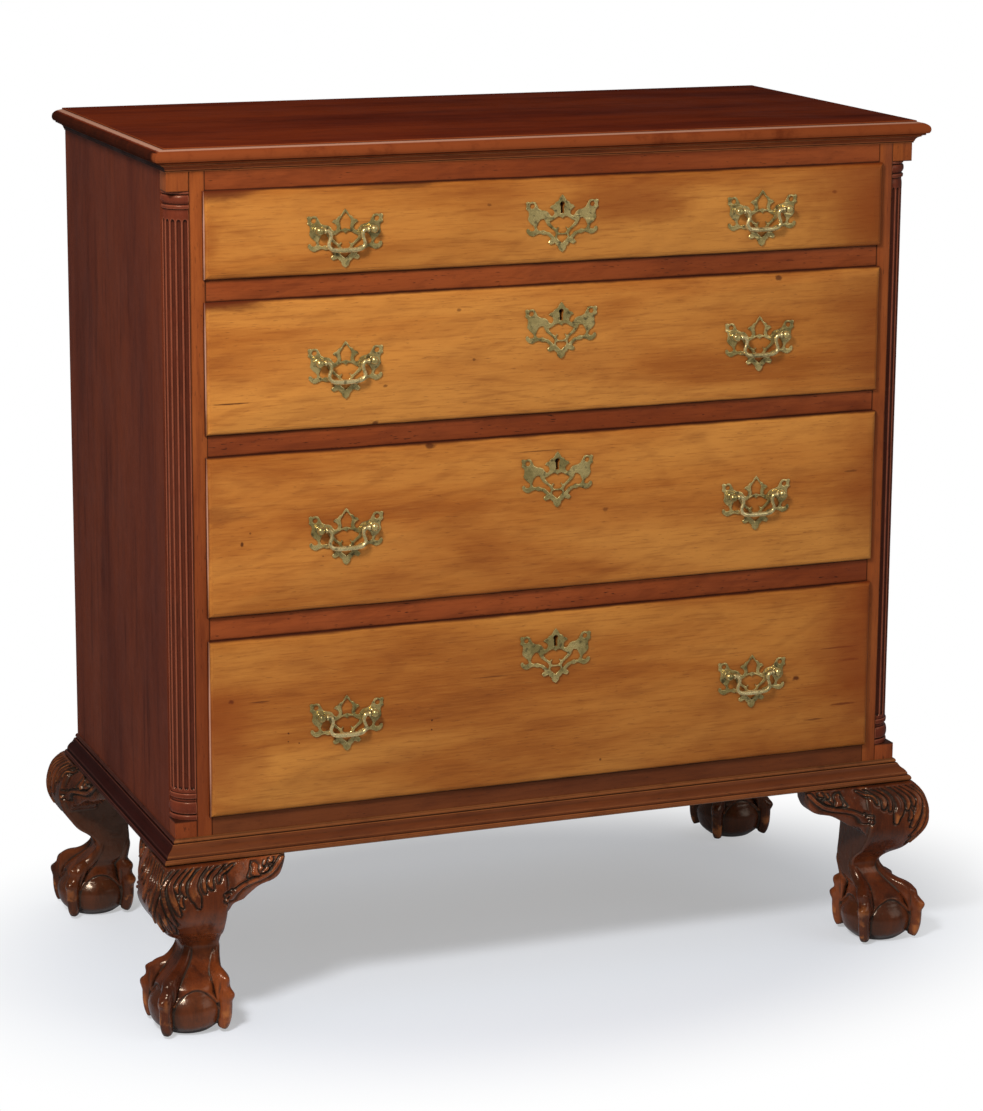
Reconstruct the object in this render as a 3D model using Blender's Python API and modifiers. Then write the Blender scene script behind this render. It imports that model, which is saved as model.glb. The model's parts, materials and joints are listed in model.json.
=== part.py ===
"""A chest of four long graduated drawers on four cabriole legs with ball-and-claw feet.

Blender 4.5. Metres, +Z up. The drawers open to the front, towards -Y, and +X is to the right.
The origin is on the floor, under the middle of the four legs.
"""

from math import cos, pi, sin

import bmesh
import bpy
from mathutils import Matrix, Vector

# Fits
GAP = 0.0003
OVERRUN = 0.002

# The whole chest, and the case between its feet and its top
HEIGHT = 1.0413
CASE_WIDTH = 0.940
CASE_DEPTH = 0.460
CASE_BOTTOM = 0.207
SIDE_THICKNESS = 0.018
BACK_THICKNESS = 0.014
RAIL_DEPTH = 0.022
COLUMN_RECESS = 0.026
STILE_WIDTH = 0.019
DUSTBOARD_THICKNESS = 0.010
GUIDE_HEIGHT = 0.015
BOTTOM_RAIL_HEIGHT = 0.053
TOP_RAIL_HEIGHT = 0.0363

# The drawer openings' shares of the height that they fill together, from the bottom up
OPENING_SHARES = (0.3267, 0.2898, 0.2338, 0.1497)
# The dividers under the upper three openings, numbered from the top
DIVIDER_1_HEIGHT = 0.0335
DIVIDER_2_HEIGHT = 0.0335
DIVIDER_3_HEIGHT = 0.036

# The drawers
LIP_OVERLAP = 0.004
LIP_PROUD = 0.008
LIP_EDGE = 0.0025
LIP_MOULDING = 0.006
LIP_STEP = 0.0012
PLUG_DEPTH = 0.014
PLUG_CLEARANCE = 0.001
DRAWER_SIDE_THICKNESS = 0.011
DRAWER_BACK_THICKNESS = 0.012
DRAWER_BOTTOM_THICKNESS = 0.009
DRAWER_BOTTOM_RISE = 0.008
DRAWER_HEADROOM = 0.004
DRAWER_BACK_CLEARANCE = 0.027
GROOVE_DEPTH = 0.005
LIP_ARC_STEPS = 3

# The top board and the cove under it
TOP_THICKNESS = 0.0175
TOP_OVERHANG = 0.0165
TOP_EDGE_WIDTH = 0.0145
COVE_HEIGHT = 0.0095
COVE_OUT = 0.009
# Inset from the board's edge and depth under its top, from the bottom up
TOP_EDGE_SHARES = (
    (0.32, 1.00), (0.30, 0.88), (0.08, 0.83), (0.00, 0.68), (0.00, 0.50),
    (0.10, 0.34), (0.38, 0.18), (0.92, 0.09), (0.94, 0.00),
)
# Reach from the case and height, from the case round to the case again
COVE_SHARES = (
    (0.00, 0.00), (0.12, 0.00), (0.14, 0.20), (0.28, 0.48), (0.56, 0.72), (0.90, 0.82), (1.00, 1.00),
    (0.00, 1.00),
)

# The base moulding
BASE_HEIGHT = 0.0265
BASE_OUT = 0.018
BASE_SHARES = (
    (0.00, 0.00), (0.90, 0.00), (1.00, 0.07), (1.00, 0.18), (0.92, 0.25), (0.80, 0.27), (0.74, 0.40),
    (0.52, 0.54), (0.32, 0.68), (0.26, 0.78), (0.13, 0.80), (0.15, 0.90), (0.08, 1.00), (0.00, 1.00),
)

# The fluted quarter columns
LOWER_BLOCK_HEIGHT = 0.0465
UPPER_BLOCK_HEIGHT = 0.0323
COLUMN_MARGIN = 0.0008
COLUMN_STEPS = 32
CAPITAL_HEIGHT = 0.029
BASE_RINGS_HEIGHT = 0.033
FLUTE_COUNT = 5
FLUTE_RADIUS = 0.0023
FLUTE_SIDES = 8
# Radius as a share of the column's, and height as a share of the capital's, from the top down
CAPITAL_SHARES = (
    (0.99, 1.00), (1.00, 0.90), (0.96, 0.86), (1.02, 0.76), (1.02, 0.62), (0.95, 0.50), (1.00, 0.44),
    (1.00, 0.34), (0.93, 0.30), (0.95, 0.00),
)
# The same for the turned base
BASE_RING_SHARES = (
    (0.95, 1.00), (1.00, 0.94), (1.00, 0.80), (0.94, 0.74), (0.94, 0.62), (1.01, 0.54), (1.03, 0.36),
    (0.98, 0.20), (1.00, 0.14), (1.02, 0.00),
)

# The legs. Faces and offsets are measured from the leg's centre, which is over the middle of its foot.
LEG_SIDE_INSET = 0.013
LEG_FRONT_INSET = 0.006
LEG_BACK_INSET = 0.014
LEG_UNIT = 0.050
LEG_CORNER_STEPS = 3
# Height as a share of the leg's; outward face, inward face and corner rounding as shares of LEG_UNIT
LEG_SHARES = (
    (1.000, 0.65, 0.76, 0.20), (0.950, 0.83, 0.76, 0.26), (0.895, 0.94, 0.76, 0.32),
    (0.820, 1.00, 0.76, 0.36), (0.750, 0.98, 0.76, 0.36), (0.690, 0.88, 0.76, 0.34),
    (0.630, 0.71, 0.77, 0.32), (0.580, 0.54, 0.78, 0.28), (0.540, 0.30, 0.79, 0.26),
    (0.500, 0.13, 0.80, 0.25), (0.460, 0.07, 0.79, 0.26), (0.415, 0.14, 0.78, 0.30),
    (0.370, 0.32, 0.77, 0.38), (0.325, 0.56, 0.77, 0.52), (0.280, 0.78, 0.79, 0.68),
    (0.235, 0.76, 0.76, 0.70),
)
BALL_RADIUS = 0.046
BALL_HEIGHT = 0.063
BALL_STEPS = 12
# Radius and height of the ball's outline as shares, from the top down
BALL_SHARES = (
    (0.00, 1.00), (0.76, 0.80), (0.96, 0.60), (1.00, 0.42), (0.90, 0.18), (0.62, 0.00), (0.00, 0.00),
)
TALON_REACH = 0.060
TALON_THICKNESS = 0.0085
TALON_ROUNDING = 1
# Reach from the foot's centre, height as a share of the ball's, thickness, and how far it follows the ankle
TALON_SHARES = (
    (0.25, 1.42, 1.05, 1.00), (0.42, 1.24, 1.00, 0.65), (0.66, 1.06, 1.10, 0.25), (0.75, 0.88, 0.90, 0.08),
    (0.84, 0.72, 1.05, 0.00), (0.82, 0.48, 0.92, 0.00), (0.72, 0.12, 0.55, 0.00),
)
# How far the ankle stands back from the foot's centre, on each axis
ANKLE_SETBACK = 0.019
BRACKET_LENGTH = 0.116
BRACKET_DROP = 0.075
BRACKET_THICKNESS = 0.026
BRACKET_BULGE_SHARE = 0.45
BRACKET_UNDERCUT_SHARE = 0.85
# Along the bracket, down to its lower edge, and the reach of its face at the top and at the bulge in LEG_UNIT
BRACKET_SHARES = (
    (0.17, 0.70, 0.62, 0.92), (0.27, 0.80, 0.60, 0.91), (0.345, 0.78, 0.59, 0.90), (0.41, 0.665, 0.57, 0.87),
    (0.52, 0.625, 0.54, 0.80), (0.58, 0.565, 0.52, 0.75), (0.71, 0.455, 0.50, 0.66), (0.86, 0.41, 0.47, 0.56),
    (0.94, 0.335, 0.44, 0.50), (0.99, 0.185, 0.41, 0.44), (1.00, 0.03, 0.40, 0.41),
)

# The brasses. The plate's origin is midway between its posts.
PLATE_HALF_WIDTH = 0.0458
PLATE_HEIGHT = 0.0682
PLATE_THICKNESS = 0.0016
POST_SPACING = 0.066
POST_REACH = 0.008
POST_STEPS = 6
SOCKET_STEPS = 8
BALL_HEAD_RADIUS = 0.0043
NECK_RADIUS = 0.0026
COLLAR_RADIUS = 0.0048
COLLAR_HEIGHT = 0.0015
SHANK_RADIUS = 0.0020
SHANK_CLEARANCE = 0.0004
NUT_RADIUS = 0.0055
NUT_THICKNESS = 0.003
BAIL_DROP = 0.0235
BAIL_THICKNESS = 0.0042
PIN_RADIUS = 0.0015
PIN_CLEARANCE = 0.0005
PIN_ENGAGEMENT = 0.0026
PULL_RISE = 0.0015
ESCUTCHEON_SHIFT = 0.003
# Where the pulls are, in halves of the case's width
PULL_PLACE_SHARES = (("left", -0.5574), ("right", 0.5638))
# How many times the rise and the shift each drawer's brasses were set off by hand, from the bottom one up
PULL_RISE_SHARES = (3.0, 1.0, 1.0, 0.7)
ESCUTCHEON_SHIFT_SHARES = (1.0, 1.0, 2.0, 2.0)
ESCUTCHEON_DROP = 0.0165
KEYHOLE_RISE = 0.0085
KEYHOLE_HEIGHT = 0.0130
KEYHOLE_ROUND = 0.0025
KEYHOLE_SLOT = 0.0016

# Half of the plate's outline, from the crown down to the pendant: across as a share of half the width,
# up as a share of the height
PLATE_OUTLINE_SHARES = (
    (0.000, 0.350), (0.093, 0.274), (0.253, 0.188), (0.351, 0.129), (0.235, 0.070), (0.255, -0.005),
    (0.330, -0.010), (0.380, 0.035), (0.474, 0.081), (0.660, 0.110), (0.732, 0.228), (0.978, 0.228),
    (1.000, 0.114), (0.920, 0.040), (0.930, -0.080), (0.765, -0.190), (0.780, -0.250), (0.966, -0.236),
    (0.960, -0.310), (0.800, -0.352), (0.620, -0.312), (0.450, -0.327), (0.300, -0.410), (0.388, -0.475),
    (0.250, -0.510), (0.118, -0.525), (0.093, -0.601), (0.000, -0.650),
)
# Openings of the right half, mirrored for the left
WING_OPENING_SHARES = (
    (0.510, -0.065), (0.600, -0.080), (0.690, -0.200), (0.600, -0.250), (0.351, -0.297), (0.200, -0.385),
    (0.220, -0.270), (0.425, -0.160),
)
EAR_OPENING_SHARES = (
    (0.760, 0.167), (0.795, 0.204), (0.865, 0.204), (0.900, 0.167), (0.865, 0.130), (0.795, 0.130),
)
# Half outlines of the openings on the middle line
HEART_OPENING_SHARES = (
    (0.000, -0.065), (0.090, -0.030), (0.200, -0.050), (0.350, -0.110), (0.210, -0.225), (0.110, -0.215),
    (0.125, -0.290), (0.000, -0.317),
)
PENDANT_OPENING_SHARES = ((0.000, -0.345), (0.130, -0.352), (0.140, -0.390), (0.000, -0.490))
ARCH_OPENING_SHARES = ((0.000, 0.256), (0.085, 0.210), (0.115, 0.120), (0.105, 0.005), (0.000, 0.020))
# Half of the bail from its pin to its middle: across as a share of the way from the middle to the ball head,
# down as a share of its drop, and thickness as a share of the bail's
BAIL_SHARES = (
    (0.942, 0.00, 0.95), (0.874, 0.00, 0.66), (0.752, 0.02, 0.94), (0.676, 0.18, 0.86), (0.684, 0.36, 0.86),
    (0.752, 0.62, 0.88), (0.706, 0.86, 0.94), (0.532, 0.99, 1.00), (0.266, 1.02, 1.04),
)

# What follows from the sizes above
HALF_WIDTH = CASE_WIDTH / 2
LEG_SPREAD = CASE_DEPTH - LEG_FRONT_INSET - LEG_BACK_INSET
FRONT = -LEG_SPREAD / 2 - LEG_FRONT_INSET
BACK = FRONT + CASE_DEPTH
LEG_X = HALF_WIDTH - LEG_SIDE_INSET
LEG_HEIGHT = CASE_BOTTOM - GAP
OPENING_HALF = HALF_WIDTH - COLUMN_RECESS - STILE_WIDTH
INSIDE_HALF = HALF_WIDTH - SIDE_THICKNESS
INSIDE_BACK = BACK - BACK_THICKNESS
FACE = FRONT - LIP_PROUD
POST_Y = FACE - POST_REACH
CASE_TOP = HEIGHT - TOP_THICKNESS
DIVIDER_HEIGHTS = (DIVIDER_3_HEIGHT, DIVIDER_2_HEIGHT, DIVIDER_1_HEIGHT)
FIRST_OPENING = CASE_BOTTOM + BOTTOM_RAIL_HEIGHT
OPENINGS_HEIGHT = CASE_TOP - TOP_RAIL_HEIGHT - sum(DIVIDER_HEIGHTS) - FIRST_OPENING
OPENING_HEIGHTS = tuple(OPENINGS_HEIGHT * share for share in OPENING_SHARES)
DRAWER_COUNT = len(OPENING_HEIGHTS)
OPENING_BOTTOMS = tuple(
    FIRST_OPENING + sum(OPENING_HEIGHTS[:n]) + sum(DIVIDER_HEIGHTS[:n]) for n in range(DRAWER_COUNT)
)
COLUMN_BOTTOM = CASE_BOTTOM + LOWER_BLOCK_HEIGHT
COLUMN_TOP = CASE_TOP - UPPER_BLOCK_HEIGHT
COLUMN_RADIUS = COLUMN_RECESS - COLUMN_MARGIN
BEHIND_FRONT = FRONT + max(COLUMN_RECESS, RAIL_DEPTH) + GAP
DRAWER_START = FRONT + PLUG_DEPTH
DRAWER_END = INSIDE_BACK - DRAWER_BACK_CLEARANCE
BALL_HEAD_INSIDE = POST_SPACING / 2 - BALL_HEAD_RADIUS
PULL_PLACES = tuple((side, HALF_WIDTH * share) for side, share in PULL_PLACE_SHARES)

# Colours of the woods and metals, linear
CHERRY = (0.150, 0.034, 0.012, 1.0)
DARK_CHERRY = (0.075, 0.018, 0.010, 1.0)
MAPLE = (0.360, 0.135, 0.030, 1.0)
POPLAR = (0.300, 0.200, 0.095, 1.0)
BRASS = (0.330, 0.260, 0.110, 1.0)


def clear_scene():
    for obj in list(bpy.data.objects):
        bpy.data.objects.remove(obj, do_unlink=True)


def new_collection(name):
    collection = bpy.data.collections.new(name)
    bpy.context.scene.collection.children.link(collection)
    return collection


def new_material(name, colour, roughness, metallic):
    material = bpy.data.materials.new(name)
    material.use_nodes = True
    shader = material.node_tree.nodes["Principled BSDF"]
    shader.inputs["Base Color"].default_value = colour
    shader.inputs["Roughness"].default_value = roughness
    shader.inputs["Metallic"].default_value = metallic
    return material


clear_scene()
CHEST = new_collection("chest_of_drawers")
CUTTERS = new_collection("cutters")
CHERRY_WOOD = new_material("cherry", CHERRY, 0.35, 0.0)
DARK_WOOD = new_material("dark_cherry", DARK_CHERRY, 0.30, 0.0)
MAPLE_WOOD = new_material("maple", MAPLE, 0.35, 0.0)
POPLAR_WOOD = new_material("poplar", POPLAR, 0.70, 0.0)
OLD_BRASS = new_material("brass", BRASS, 0.35, 1.0)


# Making and joining solids

def add_object(name, mesh, material=None):
    """A new object in the chest, or a hidden helper among the cutters when it has no material."""
    obj = bpy.data.objects.new(name, mesh)
    if material:
        mesh.materials.append(material)
        CHEST.objects.link(obj)
    else:
        CUTTERS.objects.link(obj)
        obj.hide_render = True
        obj.display_type = "WIRE"
    return obj


def mesh_from(name, bm):
    mesh = bpy.data.meshes.new(name)
    bmesh.ops.recalc_face_normals(bm, faces=bm.faces)
    bm.to_mesh(mesh)
    bm.free()
    return mesh


def box(name, low, high, material=None):
    """A board between two corners, with its origin in its middle."""
    low, high = Vector(low), Vector(high)
    bm = bmesh.new()
    bmesh.ops.create_cube(bm, size=1.0)
    bmesh.ops.scale(bm, vec=high - low, verts=bm.verts)
    obj = add_object(name, mesh_from(name, bm), material)
    obj.location = (low + high) / 2
    return obj


def loft(name, rings, material=None):
    """A closed solid through rings of points that run the same way round."""
    bm = bmesh.new()
    loops = [[bm.verts.new(point) for point in ring] for ring in rings]
    count = len(loops[0])
    for lower, upper in zip(loops, loops[1:]):
        for n in range(count):
            m = (n + 1) % count
            bm.faces.new((lower[n], lower[m], upper[m], upper[n]))
    bm.faces.new(loops[0])
    bm.faces.new(loops[-1])
    return add_object(name, mesh_from(name, bm), material)


def solid_of(obj):
    """The object's evaluated mesh as a new welded mesh, in the object's own space."""
    graph = bpy.context.evaluated_depsgraph_get()
    mesh = bpy.data.meshes.new_from_object(obj.evaluated_get(graph), depsgraph=graph)
    mesh.name = obj.name
    bm = bmesh.new()
    bm.from_mesh(mesh)
    bmesh.ops.remove_doubles(bm, verts=bm.verts, dist=GAP / 10)
    bmesh.ops.recalc_face_normals(bm, faces=bm.faces)
    bm.to_mesh(mesh)
    bm.free()
    return mesh


def frozen(obj, material=None):
    """Replaces an object by its evaluated solid, in place."""
    name, place = obj.name, obj.matrix_basis.copy()
    mesh = solid_of(obj)
    bpy.data.objects.remove(obj, do_unlink=True)
    made = add_object(name, mesh, material)
    made.matrix_basis = place
    return made


def curve_object(name, splines, **settings):
    """A curve with cyclic flat splines or one open spline. Each point is (x, y, z, radius)."""
    curve = bpy.data.curves.new(name, "CURVE")
    for key, value in settings.items():
        setattr(curve, key, value)
    for points, cyclic in splines:
        spline = curve.splines.new("POLY")
        spline.points.add(len(points[1:]))
        for point, (x, y, z, radius) in zip(spline.points, points):
            point.co = (x, y, z, 1)
            point.radius = radius
        spline.use_cyclic_u = cyclic
    return add_object(name, curve)


def outline_solid(name, outlines, thickness, material=None):
    """A flat plate in X and Z, its back on Y 0 and its front at -thickness. Later outlines are openings."""
    splines = [([(x, z, 0, 1) for x, z in outline], True) for outline in outlines]
    curve = curve_object(name, splines, dimensions="2D", fill_mode="BOTH", extrude=thickness / 2)
    made = frozen(curve, material)
    made.data.transform(Matrix.Translation((0, -thickness / 2, 0)) @ Matrix.Rotation(pi / 2, 4, "X"))
    return made


def tube(name, points, sides_resolution):
    """A round bar along points of (x, y, z, radius)."""
    curve = curve_object(name, [(points, False)], dimensions="3D", bevel_depth=1.0,
                         bevel_resolution=sides_resolution, use_fill_caps=True)
    return frozen(curve)


def turned(name, profile, steps, material=None):
    """A turned solid from a profile of (radius, height), top to bottom, about Z."""
    bm = bmesh.new()
    verts = [bm.verts.new((radius, 0, height)) for radius, height in profile]
    for upper, lower in zip(verts, verts[1:]):
        bm.edges.new((upper, lower))
    mesh = bpy.data.meshes.new(name)
    bm.to_mesh(mesh)
    bm.free()
    obj = add_object(name, mesh, material)
    screw = obj.modifiers.new("turning", "SCREW")
    screw.steps = screw.render_steps = steps
    screw.use_merge_vertices = True
    screw.merge_threshold = GAP / 10
    return frozen(obj, material)


def combine(obj, other, operation):
    """Adds a Boolean with a helper object to a solid."""
    boolean = obj.modifiers.new(f"{operation.lower()} {other.name}", "BOOLEAN")
    boolean.operation = operation
    boolean.object = other
    return obj


def joined(obj, others, material=None):
    """One solid from several that overlap. The others are removed."""
    for other in others:
        combine(obj, other, "UNION")
    made = frozen(obj, material)
    for other in others:
        bpy.data.objects.remove(other, do_unlink=True)
    return made


def empty_at(name, location):
    empty = bpy.data.objects.new(name, None)
    empty.location = location
    CHEST.objects.link(empty)
    return empty


def carry(parent, obj):
    """Parents an object to an empty and leaves it where it is."""
    obj.parent = parent
    obj.matrix_parent_inverse = Matrix.Translation(parent.location).inverted()


def scaled(shares, across, up):
    return [(across * a, up * b) for a, b in shares]


def mirrored(half):
    """A closed outline from its right half, which starts and ends on the middle line."""
    return half + [(-x, z) for x, z in reversed(half[1:-1])]


# The case

def mitred_moulding(name, shares, out, height, bottom):
    """A moulding round the front and both sides, mitred at the front corners."""
    stations = (
        ((-HALF_WIDTH, BACK), (-1, 0)), ((-HALF_WIDTH, FRONT), (-1, -1)),
        ((HALF_WIDTH, FRONT), (1, -1)), ((HALF_WIDTH, BACK), (1, 0)),
    )
    rings = []
    for (x, y), (away_x, away_y) in stations:
        ring = []
        for out_share, up_share in shares:
            reach = GAP + (out - GAP) * out_share
            ring.append((x + away_x * reach, y + away_y * reach, bottom + height * up_share))
        rings.append(ring)
    return loft(name, rings, CHERRY_WOOD)


def make_top():
    top = CASE_TOP + TOP_THICKNESS
    rings = []
    for inset_share, depth_share in TOP_EDGE_SHARES:
        inset = TOP_EDGE_WIDTH * inset_share
        x = HALF_WIDTH + TOP_OVERHANG - inset
        y = FRONT - TOP_OVERHANG + inset
        z = top - TOP_THICKNESS * depth_share
        rings.append([(-x, y, z), (x, y, z), (x, BACK, z), (-x, BACK, z)])
    loft("top_board", rings, DARK_WOOD)
    cove_bottom = CASE_TOP - COVE_HEIGHT - GAP
    mitred_moulding("top_moulding", COVE_SHARES, COVE_OUT, COVE_HEIGHT, cove_bottom)


def make_corner_post(side, sign):
    """A front stile with the two square blocks that stand over and under the quarter column."""
    inner, outer = OPENING_HALF + GAP, HALF_WIDTH - COLUMN_RECESS
    corner = HALF_WIDTH
    top = CASE_TOP - GAP
    outline = [
        (inner, CASE_BOTTOM), (corner, CASE_BOTTOM), (corner, COLUMN_BOTTOM), (outer, COLUMN_BOTTOM),
        (outer, COLUMN_TOP), (corner, COLUMN_TOP), (corner, top), (inner, top),
    ]
    outline = [(sign * x, z) for x, z in outline]
    post = outline_solid(f"corner_post_{side}", [outline], COLUMN_RECESS, CHERRY_WOOD)
    post.location.y = FRONT + COLUMN_RECESS


def make_side(side, sign):
    inner, outer = sorted((sign * INSIDE_HALF, sign * HALF_WIDTH))
    low = (inner, FRONT + COLUMN_RECESS + GAP, CASE_BOTTOM)
    box(f"case_side_{side}", low, (outer, BACK, CASE_TOP - GAP), DARK_WOOD)


def make_front_rail(name, bottom, top, material=None):
    return box(name, (-OPENING_HALF, FRONT, bottom), (OPENING_HALF, FRONT + RAIL_DEPTH, top), material)


def make_board(name, top, start, material=None):
    """The board that carries a drawer, with a guide at each side. Its tongue starts behind the front rail."""
    board_half = INSIDE_HALF - GAP
    bottom = top - DUSTBOARD_THICKNESS
    guide_top = top + GUIDE_HEIGHT
    outline = [
        (-board_half, bottom), (board_half, bottom), (board_half, guide_top), (OPENING_HALF, guide_top),
        (OPENING_HALF, top), (-OPENING_HALF, top), (-OPENING_HALF, guide_top), (-board_half, guide_top),
    ]
    length = INSIDE_BACK - GAP - BEHIND_FRONT
    board = outline_solid(name, [outline], length)
    board.location.y = BEHIND_FRONT + length
    tongue_end = BEHIND_FRONT + OVERRUN
    tongue = box(f"{name} tongue", (-OPENING_HALF, start, bottom), (OPENING_HALF, tongue_end, top))
    return joined(board, [tongue], material)


def make_divider(name, bottom, top):
    """A front rail in one piece with the board behind it."""
    rail = make_front_rail(name, bottom, top)
    board = make_board(f"{name} board", top, FRONT + RAIL_DEPTH - OVERRUN)
    return joined(rail, [board], CHERRY_WOOD)


def make_case():
    make_front_rail("bottom_rail", CASE_BOTTOM, FIRST_OPENING, CHERRY_WOOD)
    make_board("case_bottom", FIRST_OPENING, FRONT + RAIL_DEPTH + GAP, POPLAR_WOOD)
    for n, height in enumerate(DIVIDER_HEIGHTS):
        bottom = OPENING_BOTTOMS[n] + OPENING_HEIGHTS[n]
        make_divider(f"divider_{len(DIVIDER_HEIGHTS) - n}", bottom, bottom + height)
    make_front_rail("top_rail", CASE_TOP - TOP_RAIL_HEIGHT, CASE_TOP - GAP, CHERRY_WOOD)
    back_half = INSIDE_HALF - GAP
    box("case_back", (-back_half, INSIDE_BACK, CASE_BOTTOM), (back_half, BACK, CASE_TOP - GAP), POPLAR_WOOD)
    for side, sign in (("left", -1), ("right", 1)):
        make_side(side, sign)
        make_corner_post(side, sign)
        make_column(side, sign)
    mitred_moulding("base_moulding", BASE_SHARES, BASE_OUT, BASE_HEIGHT, CASE_BOTTOM)


def make_column(side, sign):
    """A quarter of a turned column, fluted between its capital and its base."""
    bottom, top = COLUMN_BOTTOM + GAP, COLUMN_TOP - GAP
    profile = [(0, top)]
    profile += [(COLUMN_RADIUS * r, top - CAPITAL_HEIGHT * (1 - h)) for r, h in CAPITAL_SHARES]
    profile += [(COLUMN_RADIUS * r, bottom + BASE_RINGS_HEIGHT * h) for r, h in BASE_RING_SHARES]
    profile += [(0, bottom)]
    whole = turned(f"column {side}", profile, COLUMN_STEPS)
    quarter = box(f"quarter {side}", (GAP, -HALF_WIDTH, 0), (HALF_WIDTH, -GAP, CASE_TOP))
    combine(whole, quarter, "INTERSECT")
    flutes = make_flutes(f"flutes {side}", bottom + BASE_RINGS_HEIGHT, top - CAPITAL_HEIGHT)
    combine(whole, flutes, "DIFFERENCE")
    column = frozen(whole)
    bpy.data.objects.remove(quarter, do_unlink=True)
    bpy.data.objects.remove(flutes, do_unlink=True)
    mesh = column.data
    if sign < 0:
        mesh.transform(Matrix.Diagonal((-1, 1, 1, 1)))
        mesh.flip_normals()
    bpy.data.objects.remove(column, do_unlink=True)
    column = add_object(f"quarter_column_{side}", mesh, DARK_WOOD)
    column.location = (sign * (HALF_WIDTH - COLUMN_RECESS), FRONT + COLUMN_RECESS, 0)


def make_flutes(name, bottom, top):
    """The round cutters of the flutes, evenly spread over the quarter that faces +X and -Y."""
    bm = bmesh.new()
    length = top - bottom - 2 * FLUTE_RADIUS
    shaft_radius = COLUMN_RADIUS * CAPITAL_SHARES[-1][0]
    for n in range(FLUTE_COUNT):
        angle = -pi / 2 * (n + 0.5) / FLUTE_COUNT
        middle = (shaft_radius * cos(angle), shaft_radius * sin(angle), (bottom + top) / 2)
        place = Matrix.Translation(middle)
        bmesh.ops.create_cone(bm, cap_ends=True, segments=FLUTE_SIDES, radius1=FLUTE_RADIUS,
                              radius2=FLUTE_RADIUS, depth=length, matrix=place)
    return add_object(name, mesh_from(name, bm))


# The legs

def leg_ring(height, outer, inner, rounding):
    """A square with rounded corners. Its outward faces look to -X and -Y, for the front left leg."""
    ring = []
    corners = ((inner, inner, 0), (-outer, inner, 1), (-outer, -outer, 2), (inner, -outer, 3))
    for x, y, quarter in corners:
        centre_x = x - rounding if x == inner else x + rounding
        centre_y = y - rounding if y == inner else y + rounding
        for n in range(LEG_CORNER_STEPS + 1):
            angle = pi / 2 * (quarter + n / LEG_CORNER_STEPS)
            ring.append((centre_x + rounding * cos(angle), centre_y + rounding * sin(angle), height))
    return ring


def make_talon(number, direction_x, direction_y):
    """One claw, from its root at the ankle over two knuckles to its nail."""
    points = []
    for reach_share, height_share, thick_share, follow_share in TALON_SHARES:
        reach = TALON_REACH * reach_share * cos(pi / 4)
        follow = ANKLE_SETBACK * follow_share
        points.append((direction_x * reach + follow, direction_y * reach + follow,
                       BALL_HEIGHT * height_share, TALON_THICKNESS * thick_share))
    return tube(f"talon {number}", points, TALON_ROUNDING)


def make_bracket(name):
    """The knee bracket that runs along the front, from the leg towards the middle of the case."""
    rings = []
    top = LEG_HEIGHT + OVERRUN
    for along_share, drop_share, top_share, bulge_share in BRACKET_SHARES:
        x = BRACKET_LENGTH * along_share
        low = LEG_HEIGHT - BRACKET_DROP * drop_share
        middle = low + (LEG_HEIGHT - low) * BRACKET_BULGE_SHARE
        top_reach, bulge = LEG_UNIT * top_share, LEG_UNIT * bulge_share
        back = BRACKET_THICKNESS - top_reach
        undercut = bulge * BRACKET_UNDERCUT_SHARE
        section = [(back, top), (back, low), (-undercut, low), (-bulge, middle), (-top_reach, top)]
        rings.append([(x, y, z) for y, z in section])
    return loft(name, rings)


def make_leg_mesh():
    """The front left leg with its brackets, about its own centre."""
    rings = []
    for height_share, *shares in LEG_SHARES:
        rings.append(leg_ring(LEG_HEIGHT * height_share, *(LEG_UNIT * share for share in shares)))
    rings.insert(0, [(x, y, z + 2 * OVERRUN) for x, y, z in rings[0]])
    leg = loft("leg", rings)
    ball = turned("ball", [(BALL_RADIUS * r, BALL_HEIGHT * h) for r, h in BALL_SHARES], BALL_STEPS)
    directions = ((-1, -1), (1, -1), (-1, 1), (1, 1))
    talons = [make_talon(n, x, y) for n, (x, y) in enumerate(directions)]
    front_bracket = make_bracket("front bracket")
    side_bracket = make_bracket("side bracket")
    swap = Matrix(((0, 1, 0, 0), (1, 0, 0, 0), (0, 0, 1, 0), (0, 0, 0, 1)))
    side_bracket.data.transform(swap)
    side_bracket.data.flip_normals()
    whole = joined(leg, [ball, *talons, front_bracket, side_bracket])
    above = box("above", (-HALF_WIDTH, -HALF_WIDTH, LEG_HEIGHT), (HALF_WIDTH, HALF_WIDTH, CASE_TOP))
    combine(whole, above, "DIFFERENCE")
    whole = frozen(whole)
    mesh = whole.data
    bpy.data.objects.remove(above, do_unlink=True)
    bpy.data.objects.remove(whole, do_unlink=True)
    return mesh


def make_legs():
    pattern = make_leg_mesh()
    places = (
        ("leg_front_left", 1, 1), ("leg_front_right", -1, 1),
        ("leg_back_left", 1, -1), ("leg_back_right", -1, -1),
    )
    for name, flip_x, flip_y in places:
        mesh = pattern.copy()
        mesh.transform(Matrix.Diagonal((flip_x, flip_y, 1, 1)))
        if flip_x * flip_y < 0:
            mesh.flip_normals()
        leg = add_object(name, mesh, DARK_WOOD)
        leg.location = (-flip_x * LEG_X, -flip_y * LEG_SPREAD / 2, 0)


# The drawers

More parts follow.
